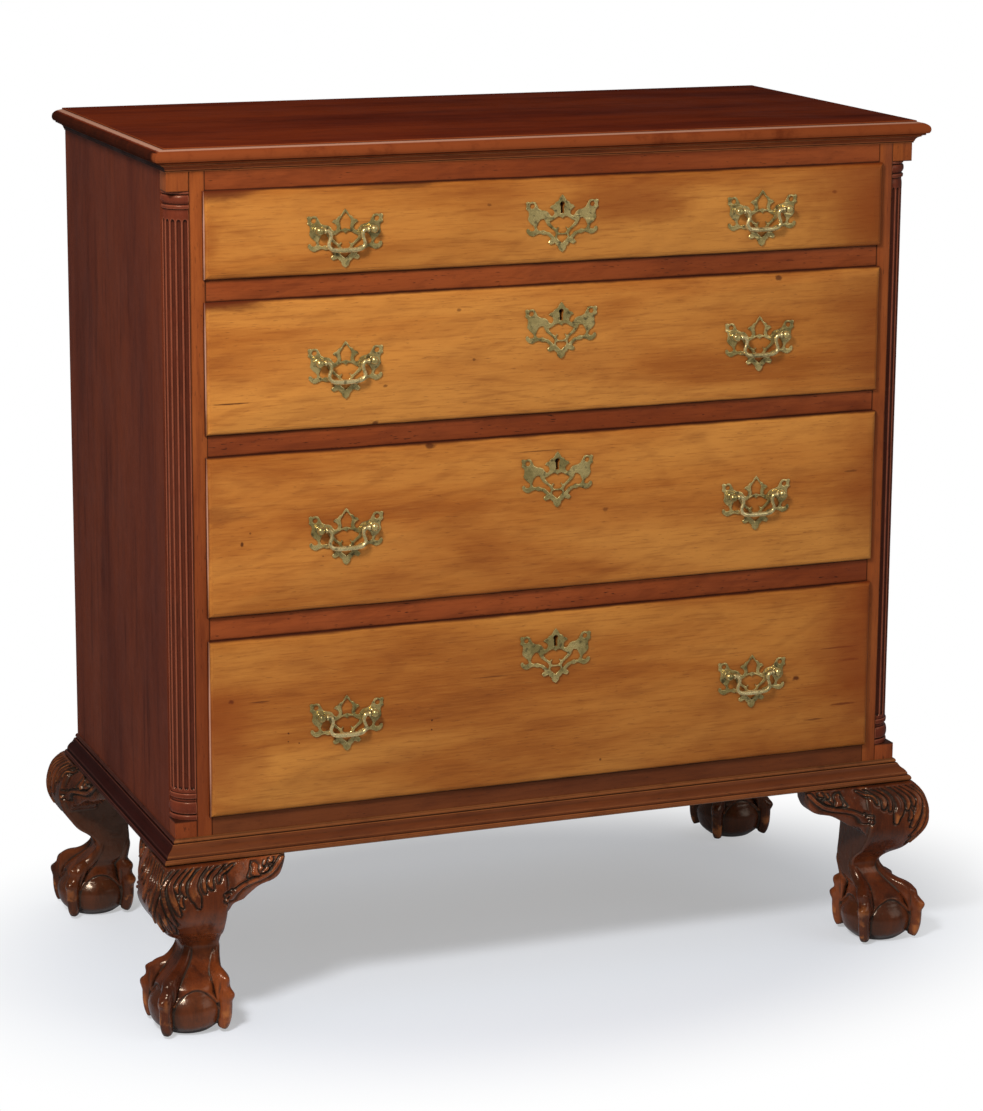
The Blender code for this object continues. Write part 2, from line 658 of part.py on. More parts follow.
def make_drawer_front(name, bottom, top):
    """A lipped front. Rings run from the back of its plug to its face."""
    half, plug = OPENING_HALF, PLUG_CLEARANCE
    lip = -LIP_OVERLAP
    levels = [(plug, FRONT + PLUG_DEPTH), (plug, FRONT - GAP), (lip, FRONT - GAP), (lip, FRONT - LIP_EDGE)]
    arc_height = LIP_PROUD - LIP_EDGE - LIP_STEP
    for n in range(1, LIP_ARC_STEPS + 1):
        angle = pi / 2 * n / LIP_ARC_STEPS
        levels.append((lip + LIP_MOULDING * (1 - cos(angle)), FRONT - LIP_EDGE - arc_height * sin(angle)))
    levels.append((lip + LIP_MOULDING, FACE))
    rings = []
    for inset, y in levels:
        x, low, high = half - inset, bottom + inset, top - inset
        rings.append([(-x, y, low), (x, y, low), (x, y, high), (-x, y, high)])
    return loft(name, rings, MAPLE_WOOD)


def hole_cutter(name, x, z, radius):
    """A round cutter along Y through a drawer front."""
    bm = bmesh.new()
    depth = LIP_PROUD + PLUG_DEPTH + 2 * OVERRUN
    middle = (x, FRONT + (PLUG_DEPTH - LIP_PROUD) / 2, z)
    place = Matrix.Translation(middle) @ Matrix.Rotation(pi / 2, 4, "X")
    bmesh.ops.create_cone(bm, cap_ends=True, segments=POST_STEPS, radius1=radius, radius2=radius,
                          depth=depth, matrix=place)
    return add_object(name, mesh_from(name, bm))


def keyhole_outline():
    """A round eye over a tapering slot, about the middle of its height."""
    eye_z = KEYHOLE_HEIGHT / 2 - KEYHOLE_ROUND
    points = []
    arc_steps = 6
    for n in range(arc_steps + 1):
        angle = -pi / 4 + 3 * pi / 2 * n / arc_steps
        points.append((KEYHOLE_ROUND * cos(angle), eye_z + KEYHOLE_ROUND * sin(angle)))
    points.append((-KEYHOLE_SLOT, -KEYHOLE_HEIGHT / 2))
    points.append((KEYHOLE_SLOT, -KEYHOLE_HEIGHT / 2))
    return points


def make_drawer(number, bottom, top, pull_height, keyhole_place):
    """The five boards of one drawer, in its opening, with the holes for its brasses."""
    name = f"drawer_{number}"
    slide = empty_at(f"{name}_slide", (0, FRONT, bottom))
    front = make_drawer_front(f"{name}_front", bottom, top)
    start, end = DRAWER_START, DRAWER_END
    outer = OPENING_HALF - PLUG_CLEARANCE
    inner = outer - DRAWER_SIDE_THICKNESS
    floor_low = bottom + DRAWER_BOTTOM_RISE
    floor_high = floor_low + DRAWER_BOTTOM_THICKNESS
    side_top = top - DRAWER_HEADROOM
    left = box(f"{name}_side_left", (-outer, start + GAP, bottom + GAP), (-inner, end, side_top), POPLAR_WOOD)
    right = box(f"{name}_side_right", (inner, start + GAP, bottom + GAP), (outer, end, side_top), POPLAR_WOOD)
    back = box(f"{name}_back", (GAP - inner, end - DRAWER_BACK_THICKNESS, floor_high + GAP),
               (inner - GAP, end, side_top), POPLAR_WOOD)
    reach = inner + GROOVE_DEPTH - GAP
    floor = box(f"{name}_bottom", (-reach, start - GROOVE_DEPTH + GAP, floor_low), (reach, end, floor_high),
                POPLAR_WOOD)
    groove = box(f"{name} groove", (-reach - GAP, start - GROOVE_DEPTH, floor_low - GAP),
                 (reach + GAP, end + OVERRUN, floor_high + GAP))
    for board in (front, left, right):
        combine(board, groove, "DIFFERENCE")
    for _, x in PULL_PLACES:
        for post_x in (x - POST_SPACING / 2, x + POST_SPACING / 2):
            cutter = hole_cutter(f"{name} post hole", post_x, pull_height, SHANK_RADIUS + SHANK_CLEARANCE)
            combine(front, cutter, "DIFFERENCE")
    keyhole_depth = LIP_PROUD + PLUG_DEPTH + 2 * OVERRUN
    keyhole = outline_solid(f"{name} keyhole", [keyhole_outline()], keyhole_depth)
    keyhole.location = (keyhole_place, start + OVERRUN, escutcheon_height(top) + KEYHOLE_RISE)
    combine(front, keyhole, "DIFFERENCE")
    for board in (front, left, right, back, floor):
        carry(slide, board)
    return slide


# The brasses

def plate_outlines():
    """The pierced plate's outline with all its openings but the one in the crown."""
    outlines = [mirrored(scaled(PLATE_OUTLINE_SHARES, PLATE_HALF_WIDTH, PLATE_HEIGHT))]
    for shares in (WING_OPENING_SHARES, EAR_OPENING_SHARES):
        opening = scaled(shares, PLATE_HALF_WIDTH, PLATE_HEIGHT)
        outlines.append(opening)
        outlines.append([(-x, z) for x, z in opening])
    for shares in (HEART_OPENING_SHARES, PENDANT_OPENING_SHARES):
        outlines.append(mirrored(scaled(shares, PLATE_HALF_WIDTH, PLATE_HEIGHT)))
    return outlines


def make_post(name, x):
    """A turned post, from its ball head to the nut behind the drawer front."""
    nut_face = LIP_PROUD + PLUG_DEPTH + GAP
    plate_face = GAP + PLATE_THICKNESS
    profile = [(0, POST_REACH + BALL_HEAD_RADIUS)]
    ball_steps = 4
    for n in range(1, ball_steps):
        angle = pi * n / ball_steps
        profile.append((BALL_HEAD_RADIUS * sin(angle), POST_REACH + BALL_HEAD_RADIUS * cos(angle)))
    profile += [
        (NECK_RADIUS, plate_face + COLLAR_HEIGHT), (COLLAR_RADIUS, plate_face + COLLAR_HEIGHT),
        (COLLAR_RADIUS, plate_face - PLATE_THICKNESS / 2), (SHANK_RADIUS, plate_face - PLATE_THICKNESS / 2),
        (SHANK_RADIUS, -nut_face), (NUT_RADIUS, -nut_face), (NUT_RADIUS, -nut_face - NUT_THICKNESS),
        (0, -nut_face - NUT_THICKNESS),
    ]
    post = turned(name, profile, POST_STEPS)
    post.data.transform(Matrix.Translation((x, 0, 0)) @ Matrix.Rotation(pi / 2, 4, "X"))
    return post


def make_pull_plate_mesh():
    """A back plate with its two posts, about the point midway between them on the drawer's face."""
    outlines = plate_outlines()
    outlines.append(mirrored(scaled(ARCH_OPENING_SHARES, PLATE_HALF_WIDTH, PLATE_HEIGHT)))
    plate = outline_solid("pull plate", outlines, PLATE_THICKNESS)
    plate.data.transform(Matrix.Translation((0, -GAP, 0)))
    posts = [make_post(f"post {x:+.3f}", x) for x in (-POST_SPACING / 2, POST_SPACING / 2)]
    whole = joined(plate, posts)
    bm = bmesh.new()
    socket_half = BALL_HEAD_INSIDE + PIN_ENGAGEMENT + GAP
    place = Matrix.Translation((0, -POST_REACH, 0)) @ Matrix.Rotation(pi / 2, 4, "Y")
    socket_radius = PIN_RADIUS + PIN_CLEARANCE
    bmesh.ops.create_cone(bm, cap_ends=True, segments=SOCKET_STEPS, radius1=socket_radius,
                          radius2=socket_radius, depth=2 * socket_half, matrix=place)
    sockets = add_object("sockets", mesh_from("sockets", bm))
    combine(whole, sockets, "DIFFERENCE")
    made = frozen(whole)
    bpy.data.objects.remove(sockets, do_unlink=True)
    mesh = made.data
    bpy.data.objects.remove(made, do_unlink=True)
    return mesh


def make_bail_mesh():
    """A hanging bail with a pin at each end, about the middle of its axis."""
    radius = BAIL_THICKNESS / 2
    ends = (BALL_HEAD_INSIDE + PIN_ENGAGEMENT, BALL_HEAD_INSIDE - GAP)
    half = [(x, 0, 0, PIN_RADIUS) for x in ends]
    half += [(BALL_HEAD_INSIDE * a, 0, -BAIL_DROP * d, radius * t) for a, d, t in BAIL_SHARES]
    points = half + [(-x, y, z, r) for x, y, z, r in reversed(half)]
    bail = tube("bail", points, 1)
    mesh = bail.data
    bpy.data.objects.remove(bail, do_unlink=True)
    return mesh


def make_escutcheon_mesh():
    """A plate whose solid crown holds the keyhole."""
    outlines = plate_outlines()
    outlines.append([(x, z + KEYHOLE_RISE) for x, z in keyhole_outline()])
    plate = outline_solid("escutcheon", outlines, PLATE_THICKNESS)
    plate.data.transform(Matrix.Translation((0, -GAP, 0)))
    mesh = plate.data
    bpy.data.objects.remove(plate, do_unlink=True)
    return mesh


def escutcheon_height(opening_top):
    """Where the escutcheon's origin lies, from the top of its drawer's opening."""
    return opening_top - ESCUTCHEON_DROP - PLATE_HEIGHT * PLATE_OUTLINE_SHARES[0][1]


def make_drawers():
    plate_mesh = make_pull_plate_mesh()
    bail_mesh = make_bail_mesh()
    escutcheon_mesh = make_escutcheon_mesh()
    for mesh in (plate_mesh, bail_mesh, escutcheon_mesh):
        mesh.materials.append(OLD_BRASS)
    for n, height in enumerate(OPENING_HEIGHTS):
        number = DRAWER_COUNT - n
        bottom = OPENING_BOTTOMS[n]
        top = bottom + height
        pull_height = (bottom + top) / 2 + PULL_RISE * PULL_RISE_SHARES[n]
        keyhole_place = ESCUTCHEON_SHIFT * ESCUTCHEON_SHIFT_SHARES[n]
        slide = make_drawer(number, bottom, top, pull_height, keyhole_place)
        for side, x in PULL_PLACES:
            plate = bpy.data.objects.new(f"drawer_{number}_pull_plate_{side}", plate_mesh)
            plate.location = (x, FACE, pull_height)
            bail = bpy.data.objects.new(f"drawer_{number}_bail_{side}", bail_mesh)
            bail.location = (x, POST_Y, pull_height)
            for piece in (plate, bail):
                CHEST.objects.link(piece)
                carry(slide, piece)
        escutcheon = bpy.data.objects.new(f"drawer_{number}_escutcheon", escutcheon_mesh)
        escutcheon.location = (keyhole_place, FACE, escutcheon_height(top))
        CHEST.objects.link(escutcheon)
        carry(slide, escutcheon)


def main():
    make_top()
    make_case()
    make_legs()
    make_drawers()


main()
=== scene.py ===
"""The looks of a chest of four long drawers on cabriole legs with ball-and-claw feet.

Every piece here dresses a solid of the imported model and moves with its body. Metres, +Z up. The drawers open
towards -Y. Words such as left and right are those of someone who faces the drawers.
"""

from __future__ import annotations

import json
import logging
from collections.abc import Iterable, Sequence
from dataclasses import dataclass, replace
from enum import Enum
from math import cos, hypot, pi, radians, sin

import bmesh
import bpy
import numpy as np
from mathutils import Matrix, Vector, noise

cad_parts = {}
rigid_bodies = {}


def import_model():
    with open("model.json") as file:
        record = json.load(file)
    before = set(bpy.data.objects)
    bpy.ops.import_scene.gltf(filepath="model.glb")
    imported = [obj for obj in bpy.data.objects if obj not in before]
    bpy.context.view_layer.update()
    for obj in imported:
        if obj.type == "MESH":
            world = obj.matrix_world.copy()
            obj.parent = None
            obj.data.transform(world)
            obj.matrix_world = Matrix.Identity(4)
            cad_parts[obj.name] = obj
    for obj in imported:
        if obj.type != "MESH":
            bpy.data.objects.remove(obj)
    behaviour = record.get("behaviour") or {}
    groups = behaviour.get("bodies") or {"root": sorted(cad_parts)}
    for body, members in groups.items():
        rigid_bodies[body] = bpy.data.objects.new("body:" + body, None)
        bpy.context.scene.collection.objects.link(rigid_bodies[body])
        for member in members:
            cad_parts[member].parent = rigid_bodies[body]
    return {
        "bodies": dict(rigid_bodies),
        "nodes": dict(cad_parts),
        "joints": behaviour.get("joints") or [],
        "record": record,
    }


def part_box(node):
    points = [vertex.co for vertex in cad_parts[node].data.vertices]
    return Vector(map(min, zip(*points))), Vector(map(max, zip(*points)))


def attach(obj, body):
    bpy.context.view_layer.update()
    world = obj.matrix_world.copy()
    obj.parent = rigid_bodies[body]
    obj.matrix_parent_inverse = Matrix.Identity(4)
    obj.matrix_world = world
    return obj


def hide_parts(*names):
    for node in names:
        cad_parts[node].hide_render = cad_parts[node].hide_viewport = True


LOG = logging.getLogger("chest")

Point = tuple[float, float, float]
Flat = tuple[float, float]
Colour = tuple[float, float, float]
Socket = bpy.types.NodeSocket
Mesh = bpy.types.Mesh
Material = bpy.types.Material
BMesh = bmesh.types.BMesh

# Half the case's width, its front, how far a drawer's lip covers the wood round it, and the gap between two pieces,
# in metres. Faces larger than FLAT_FACE, in square metres, are flat.
CASE_HALF = 0.470
CASE_FRONT = -0.226
LIP_OVERLAP = 0.004
FREE = 0.0002
FLAT_FACE = 0.0005


class Axis(Enum):
    """An axis of the chest, and the way the grain of a board runs."""

    X = 0
    Y = 1
    Z = 2

    def lengthwise(self, share: float, across: float = 1.0) -> Point:
        """A factor for each axis, with its own one along this axis."""
        return tuple(share if n == self.value else across for n in range(3))


class Side(Enum):
    """A side of the chest, with its sign along X."""

    LEFT = -1
    RIGHT = 1

    @property
    def word(self) -> str:
        """The side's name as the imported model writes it."""
        return self.name.lower()

    def span(self, near: float, far: float) -> list[float]:
        """Two distances from the chest's middle, as places along X from left to right."""
        return sorted((self.value * near, self.value * far))


class Turn(Enum):
    """How an outline passes through a point."""

    CORNER = "corner"
    FLOW = "flow"


CORNER, FLOW = Turn.CORNER, Turn.FLOW
Outline = Sequence[tuple[float, float, Turn]]


# Meshes


def smooth_shading(mesh: Mesh, sharp_over: float = 32.0) -> Mesh:
    """Shades a mesh smoothly, with its sharp arrises kept.

    Args:
        mesh: The mesh to shade.
        sharp_over: The angle in degrees over which an edge stays sharp.

    Returns:
        The same mesh.
    """
    mesh.shade_smooth()
    mesh.set_sharp_from_angle(angle=radians(sharp_over))
    return mesh


def mesh_of(name: str, bm: BMesh, sharp_over: float = 32.0) -> Mesh:
    """Turns a bmesh into a shaded mesh, and frees it.

    Args:
        name: The mesh's name.
        bm: The bmesh.
        sharp_over: The angle in degrees over which an edge stays sharp.

    Returns:
        The mesh.
    """
    bmesh.ops.recalc_face_normals(bm, faces=bm.faces)
    mesh = bpy.data.meshes.new(name)
    bm.to_mesh(mesh)
    bm.free()
    return smooth_shading(mesh, sharp_over)


def add_rows(bm: BMesh, rows: Sequence, solid: bool = True) -> None:
    """Adds faces through rows of points.

    Args:
        bm: The bmesh to add to.
        rows: The rows, each with as many points.
        solid: Whether each row closes on itself and the first and the last one are filled.
    """
    count = len(rows[0])
    loops = [[bm.verts.new(point) for point in row] for row in rows]
    for lower, upper in zip(loops, loops[1:]):
        for n in range(count if solid else count - 1):
            m = (n + 1) % count
            bm.faces.new((lower[n], lower[m], upper[m], upper[n]))
    if solid:
        bm.faces.new(loops[0][::-1])
        bm.faces.new(loops[-1])


def solid_mesh(name: str, rows: Sequence, sharp_over: float) -> Mesh:
    """A solid through rows of points.

    Args:
        name: The mesh's name.
        rows: The rows, each with as many points.
        sharp_over: The angle in degrees over which an edge stays sharp.

    Returns:
        The mesh.
    """
    bm = bmesh.new()
    add_rows(bm, rows)
    return mesh_of(name, bm, sharp_over)


def rectangle(left: float, bottom: float, right: float, top: float) -> list[Flat]:
    """The outline of a rectangle."""
    return [(left, bottom), (right, bottom), (right, top), (left, top)]


def between(start: Flat, end: Flat, shares: Iterable[float]) -> list[Flat]:
    """Points on a straight line, at shares of its length."""
    return [(start[0] + (end[0] - start[0]) * share, start[1] + (end[1] - start[1]) * share) for share in shares]


def add_prism(bm: BMesh, outline: Sequence[Flat], axis: Axis, low: float, high: float) -> None:
    """Adds a solid with one outline all along an axis.

    Args:
        bm: The bmesh to add to.
        outline: Points in the two other axes, in the order of their names.
        axis: The axis that the solid runs along.
        low: Where it starts on that axis.
        high: Where it ends.
    """
    add_rows(bm, [[(*point[:axis.value], along, *point[axis.value:]) for point in outline] for along in (low, high)])


def ease_arrises(bm: BMesh, width: float, steps: int = 2, over: float = 30.0) -> None:
    """Rounds every arris sharper than an angle, as handling does.

    Args:
        bm: The bmesh.
        width: The width of the rounding.
        steps: How many faces round it.
        over: The angle in degrees over which an edge is an arris.
    """
    bm.normal_update()
    edges = [e for e in bm.edges if len(e.link_faces) == 2 and e.calc_face_angle(0.0) > radians(over)]
    bmesh.ops.bevel(bm, geom=edges, offset=width, segments=steps, profile=0.6, affect="EDGES", clamp_overlap=True)


def points_of(mesh: Mesh) -> list[np.ndarray]:
    """Reads a mesh.

    Args:
        mesh: The mesh.

    Returns:
        Its points and their normals.
    """
    both = []
    for part in ("co", "normal"):
        values = np.zeros(len(mesh.vertices) * 3)
        mesh.vertices.foreach_get(part, values)
        both.append(values.reshape(-1, 3))
    return both


def write_marks(mesh: Mesh, **marks: np.ndarray) -> None:
    """Writes marks from 0 to 1 for the points of a mesh, under the names that they are given with."""
    for name, values in marks.items():
        mesh.attributes.new(name, "FLOAT", "POINT").data.foreach_set("value", values.astype(np.float32))


def bends(mesh: Mesh, spread: int = 1) -> np.ndarray:
    """How sharply a mesh bends outward at each of its points.

    Args:
        mesh: The mesh.
        spread: How far each value is shared with its neighbours.

    Returns:
        The bends in 1/m, less than 0 in hollows.
    """
    spots, normals = points_of(mesh)
    count = len(spots)
    ends = np.zeros(len(mesh.edges) * 2, dtype=np.int32)
    mesh.edges.foreach_get("vertices", ends)
    first, second = ends.reshape(-1, 2).T
    way = spots[second] - spots[first]
    bend = ((normals[second] - normals[first]) * way).sum(axis=1) / np.maximum((way * way).sum(axis=1), 1e-12)
    edges = np.maximum(np.bincount(first, minlength=count) + np.bincount(second, minlength=count), 1)
    bend = (np.bincount(first, bend, count) + np.bincount(second, bend, count)) / edges
    for _ in range(spread):
        around = (np.bincount(first, bend[second], count) + np.bincount(second, bend[first], count)) / edges
        bend = (bend + around) / 2
    return bend


def mark_creases(mesh: Mesh, hollow: float = 200.0, proud: float = 420.0) -> Mesh:
    """Writes the hollows, where dust and painted shade lie, and the proud edges, where the polish is worn and a
    highlight is painted, into the marks "cut" and "high" of a mesh.

    Args:
        mesh: The mesh.
        hollow: The inward bend at which the hollows are fully darkened, in 1/m.
        proud: The outward bend at which the proud edges are fully paled, in 1/m.

    Returns:
        The same mesh.
    """
    bend = bends(mesh)
    for face in mesh.polygons:
        if face.area > FLAT_FACE:
            bend[list(face.vertices)] = 0.0
    write_marks(mesh, cut=np.clip(-bend / hollow, 0, 1), high=np.clip(bend / proud - 0.15, 0, 1))
    return mesh


def board_mesh(name: str, low: Sequence[float], high: Sequence[float], ease: float = 0.0007) -> Mesh:
    """A board between two corners, with eased arrises.

    Args:
        name: The mesh's name.
        low: Its lowest corner.
        high: Its highest corner.
        ease: The width of the rounding of its arrises.

    Returns:
        The mesh, in the chest's frame.
    """
    bm = bmesh.new()
    add_prism(bm, rectangle(*low[:2], *high[:2]), Axis.Z, low[2], high[2])
    ease_arrises(bm, ease)
    return mesh_of(name, bm)


def flowing(points: Outline, steps: int = 5, closed: bool = False) -> list[Flat]:
    """A fine line through points, that flows through some and turns sharply at the others.

    Args:
        points: Coordinates and how the line passes each point.
        steps: How many short pieces lie between two points.
        closed: Whether the line closes on itself.

    Returns:
        The points of the fine line.
    """
    count = len(points)
    spots = [Vector((a, b)) for a, b, _ in points]
    line: list[Flat] = []
    for n in range(count if closed else count - 1):
        here, there = spots[n], spots[(n + 1) % count]
        before = spots[n - 1] if (closed or n > 0) else here
        after = spots[(n + 2) % count] if (closed or n + 2 < count) else there
        leave = (there - here) if points[n][2] is Turn.CORNER else (there - before) / 2
        arrive = (there - here) if points[(n + 1) % count][2] is Turn.CORNER else (after - here) / 2
        for step in range(steps):
            t = step / steps
            a, b = 2 * t**3 - 3 * t**2 + 1, t**3 - 2 * t**2 + t
            c, d = -2 * t**3 + 3 * t**2, t**3 - t**2
            spot = here * a + leave * b + there * c + arrive * d
            line.append((spot.x, spot.y))
    if not closed:
        line.append((spots[-1].x, spots[-1].y))
    return line


def turned_rows(profile: Sequence[Flat], steps: int) -> np.ndarray:
    """Rows of a turned shape about Z.

    Args:
        profile: Radius and height of each row.
        steps: How many columns go round.

    Returns:
        The rows, as an array of points.
    """
    angles = np.linspace(0.0, 2 * pi, steps, endpoint=False)
    rows = [np.stack([r * np.cos(angles), r * np.sin(angles), np.full(steps, z)], axis=1) for r, z in profile]
    return np.array(rows)


def add_turned(bm: BMesh, profile: Sequence[Flat], steps: int, place: Point, way: int = 1) -> None:
    """Adds a turned solid that lies along Y.

    Args:
        bm: The bmesh to add to.
        profile: Radius of each row, and its distance from the solid's origin.
        steps: How many columns go round.
        place: Where its origin goes.
        way: 1 if its distances count towards the back, -1 if towards the front.
    """
    across, up, along = np.moveaxis(turned_rows(profile, steps), -1, 0)
    add_rows(bm, np.stack([across, along * way, up], axis=-1) + np.array(place))


def finished(obj: bpy.types.Object) -> Mesh:
    """The mesh of an object with its modifiers applied, after which the object is removed.

    Args:
        obj: The object.

    Returns:
        A new mesh.
    """
    graph = bpy.context.evaluated_depsgraph_get()
    mesh = bpy.data.meshes.new_from_object(obj.evaluated_get(graph), depsgraph=graph)
    mesh.name = obj.name
    bpy.data.objects.remove(obj, do_unlink=True)
    return mesh


def on_bench(name: str, data: bpy.types.ID) -> bpy.types.Object:
    """An object in the scene that is still being worked on.

    Args:
        name: Its name.
        data: Its mesh or curve.

    Returns:
        The object.
    """
    obj = bpy.data.objects.new(name, data)
    bpy.context.scene.collection.objects.link(obj)
    return obj


def cut_away(mesh: Mesh, tool: Mesh) -> Mesh:
    """Cuts one mesh with another.

    Args:
        mesh: The mesh that is cut.
        tool: The closed mesh that cuts it.

    Returns:
        The new mesh.
    """
    obj, cutter = on_bench(mesh.name, mesh), on_bench("cutter", tool)
    boolean = obj.modifiers.new("cut", "BOOLEAN")
    boolean.operation, boolean.solver, boolean.object = "DIFFERENCE", "EXACT", cutter
    cut = finished(obj)
    bpy.data.objects.remove(cutter, do_unlink=True)
    return smooth_shading(cut)


# Finishes


class Shading:
    """The nodes of one material, with short ways to wire them."""

    def __init__(self, name: str) -> None:
        """Starts a material with its Principled shader.

        Args:
            name: The material's name.
        """
        self.material = bpy.data.materials.new(name)
        self.material.use_nodes = True
        self.nodes = self.material.node_tree.nodes
        self.links = self.material.node_tree.links
        self.shader = self.nodes["Principled BSDF"]
        self.place = self.nodes.new("ShaderNodeTexCoord").outputs["Object"]

    def put(self, target: Socket, value: object) -> None:
        """Wires a socket, or sets its value.

        Args:
            target: The input socket.
            value: An output socket, a number or a tuple.
        """
        if isinstance(value, Socket):
            self.links.new(value, target)
        else:
            target.default_value = value

    def sums(self, operation: str, first: object, second: object = 0.0, clamp: bool = False) -> Socket:
        """One step of arithmetic.

        Args:
            operation: The Math node's operation.
            first: A socket or a number.
            second: A socket or a number.
            clamp: Whether the answer is kept between 0 and 1.

        Returns:
            The answer.
        """
        node = self.nodes.new("ShaderNodeMath")
        node.operation, node.use_clamp = operation, clamp
        self.put(node.inputs[0], first)
        self.put(node.inputs[1], second)
        return node.outputs[0]

    def times(self, first: object, second: object) -> Socket:
        """Two sockets or numbers multiplied."""
        return self.sums("MULTIPLY", first, second)

    def moved(self, offset: Point, stretch: Point = (1.0, 1.0, 1.0), turn: Point = (0.0, 0.0, 0.0)) -> Socket:
        """The piece's own coordinates, shifted, turned and stretched.

        Args:
            offset: The shift in metres.
            stretch: The factor on each axis.
            turn: The turn about each axis in radians.

        Returns:
            The new coordinates.
        """
        shift = self.nodes.new("ShaderNodeMapping")
        shift.inputs["Location"].default_value = offset
        shift.inputs["Rotation"].default_value = turn
        self.put(shift.inputs["Vector"], self.place)
        scale = self.nodes.new("ShaderNodeVectorMath")
        scale.operation = "MULTIPLY"
        self.put(scale.inputs[0], shift.outputs[0])
        scale.inputs[1].default_value = stretch
        return scale.outputs[0]

    def cloud(self, where: Socket, scale: float, detail: float = 3.0, rough: float = 0.55, warp: float = 0.0) -> Socket:
        """Soft noise.

        Args:
            where: Its coordinates.
            scale: Its scale.
            detail: Its layers.
            rough: How much the finer layers count.
            warp: How much it is distorted.

        Returns:
            A value around 0.5.
        """
        node = self.nodes.new("ShaderNodeTexNoise")
        self.put(node.inputs["Vector"], where)
        for key, value in (("Scale", scale), ("Detail", detail), ("Roughness", rough), ("Distortion", warp)):
            node.inputs[key].default_value = value
        return node.outputs["Fac"]

    def span(self, value: Socket, low: float, high: float, to_low: float = 0.0, to_high: float = 1.0) -> Socket:
        """Maps a range of values smoothly to another.

        Args:
            value: The value.
            low: The value that becomes to_low.
            high: The value that becomes to_high.
            to_low: The new low value.
            to_high: The new high value.

        Returns:
            The mapped value.
        """
        node = self.nodes.new("ShaderNodeMapRange")
        node.interpolation_type = "SMOOTHSTEP"
        self.put(node.inputs[0], value)
        for key, number in zip((1, 2, 3, 4), (low, high, to_low, to_high)):
            node.inputs[key].default_value = number
        return node.outputs[0]

    def blend(self, share: object, first: object, second: object) -> Socket:
        """Mixes two colours.

        Args:
            share: How much of the second one shows.
            first: A colour or a colour socket.
            second: A colour or a colour socket.

        Returns:
            The mixed colour.
        """
        node = self.nodes.new("ShaderNodeMix")
        node.data_type = "RGBA"
        self.put(node.inputs[0], share)
        for socket, value in ((node.inputs[6], first), (node.inputs[7], second)):
            self.put(socket, value if isinstance(value, Socket) else (*value, 1.0))
        return node.outputs[2]

    def relief(self, height: Socket, depth: float, under: Socket | None = None) -> Socket:
        """A bump.

        Args:
            height: Its height from 0 to 1.
            depth: The metres that 1 stands for.
            under: The normal of a bump under it.

        Returns:
            The new normal.
        """
        node = self.nodes.new("ShaderNodeBump")
        node.inputs["Strength"].default_value = 1.0
        node.inputs["Distance"].default_value = depth
        self.put(node.inputs["Height"], height)
        if under is not None:
            self.put(node.inputs["Normal"], under)
        return node.outputs[0]

    def open_share(self, reach: float) -> Socket:
        """How open each place is, near 0 deep in a hollow.

        Args:
            reach: How far around is looked at, in metres.

        Returns:
            The open share.
        """
        node = self.nodes.new("ShaderNodeAmbientOcclusion")
        node.samples, node.only_local = 6, False
        node.inputs["Distance"].default_value = reach
        return node.outputs["AO"]

    def mark(self, name: str) -> Socket:
        """A mark that was written on the mesh.

        Args:
            name: Its name.

        Returns:
            Its value, from 0 to 1.
        """
        node = self.nodes.new("ShaderNodeAttribute")
        node.attribute_name = name
        return node.outputs["Fac"]

    def length(self, where: Socket) -> Socket:
        """How far from 0 some coordinates lie.

        Args:
            where: The coordinates.

        Returns:
            The distance.
        """
        node = self.nodes.new("ShaderNodeVectorMath")
        node.operation = "LENGTH"
        self.put(node.inputs[0], where)
        return node.outputs["Value"]

    def finish(self, inputs: dict[str, object]) -> Material:
        """Fills in the shader.

        Args:
            inputs: Sockets or values, by the names of the shader's inputs.

        Returns:
            The material.
        """
        for name, value in inputs.items():
            self.put(self.shader.inputs[name], value)
        return self.material


def drawn(rng: np.random.Generator, reach: float) -> Point:
    """Three random numbers, each at most as far as reach from 0."""
    return tuple(float(v) for v in rng.uniform(-reach, reach, 3))


# From this radius on a mark is broad and soft. Below are the colours of water stains; of broad marks, which are
# soft blotches in the wood and also paint the shade at the drawer fronts' right ends; and of painted highlights.
BROAD_MARK = 0.012
STAIN = (0.105, 0.020, 0.007)
BLOTCH_AND_PAINTED_SHADE = (0.195, 0.034, 0.006)
PAINTED_HIGHLIGHT = (0.480, 0.250, 0.170)


@dataclass(frozen=True)
class Mark:
    """A mark in a board, such as a worm hole, a knot, a soft blotch, a painted shade or a painted highlight.

    Attributes:
        x: Where it is across the chest.
        z: Its height.
        radius: Its size.
        strength: How plain it is, up to 1.
        stretch: How much longer it is along X than along Z.
        colour: Its colour; without one, a small mark is a dark stain and a broad one a soft red-brown, for blotches and
            painted shade.
    """

    x: float
    z: float
    radius: float
    strength: float = 0.9
    stretch: float = 1.0
    colour: Colour | None = None


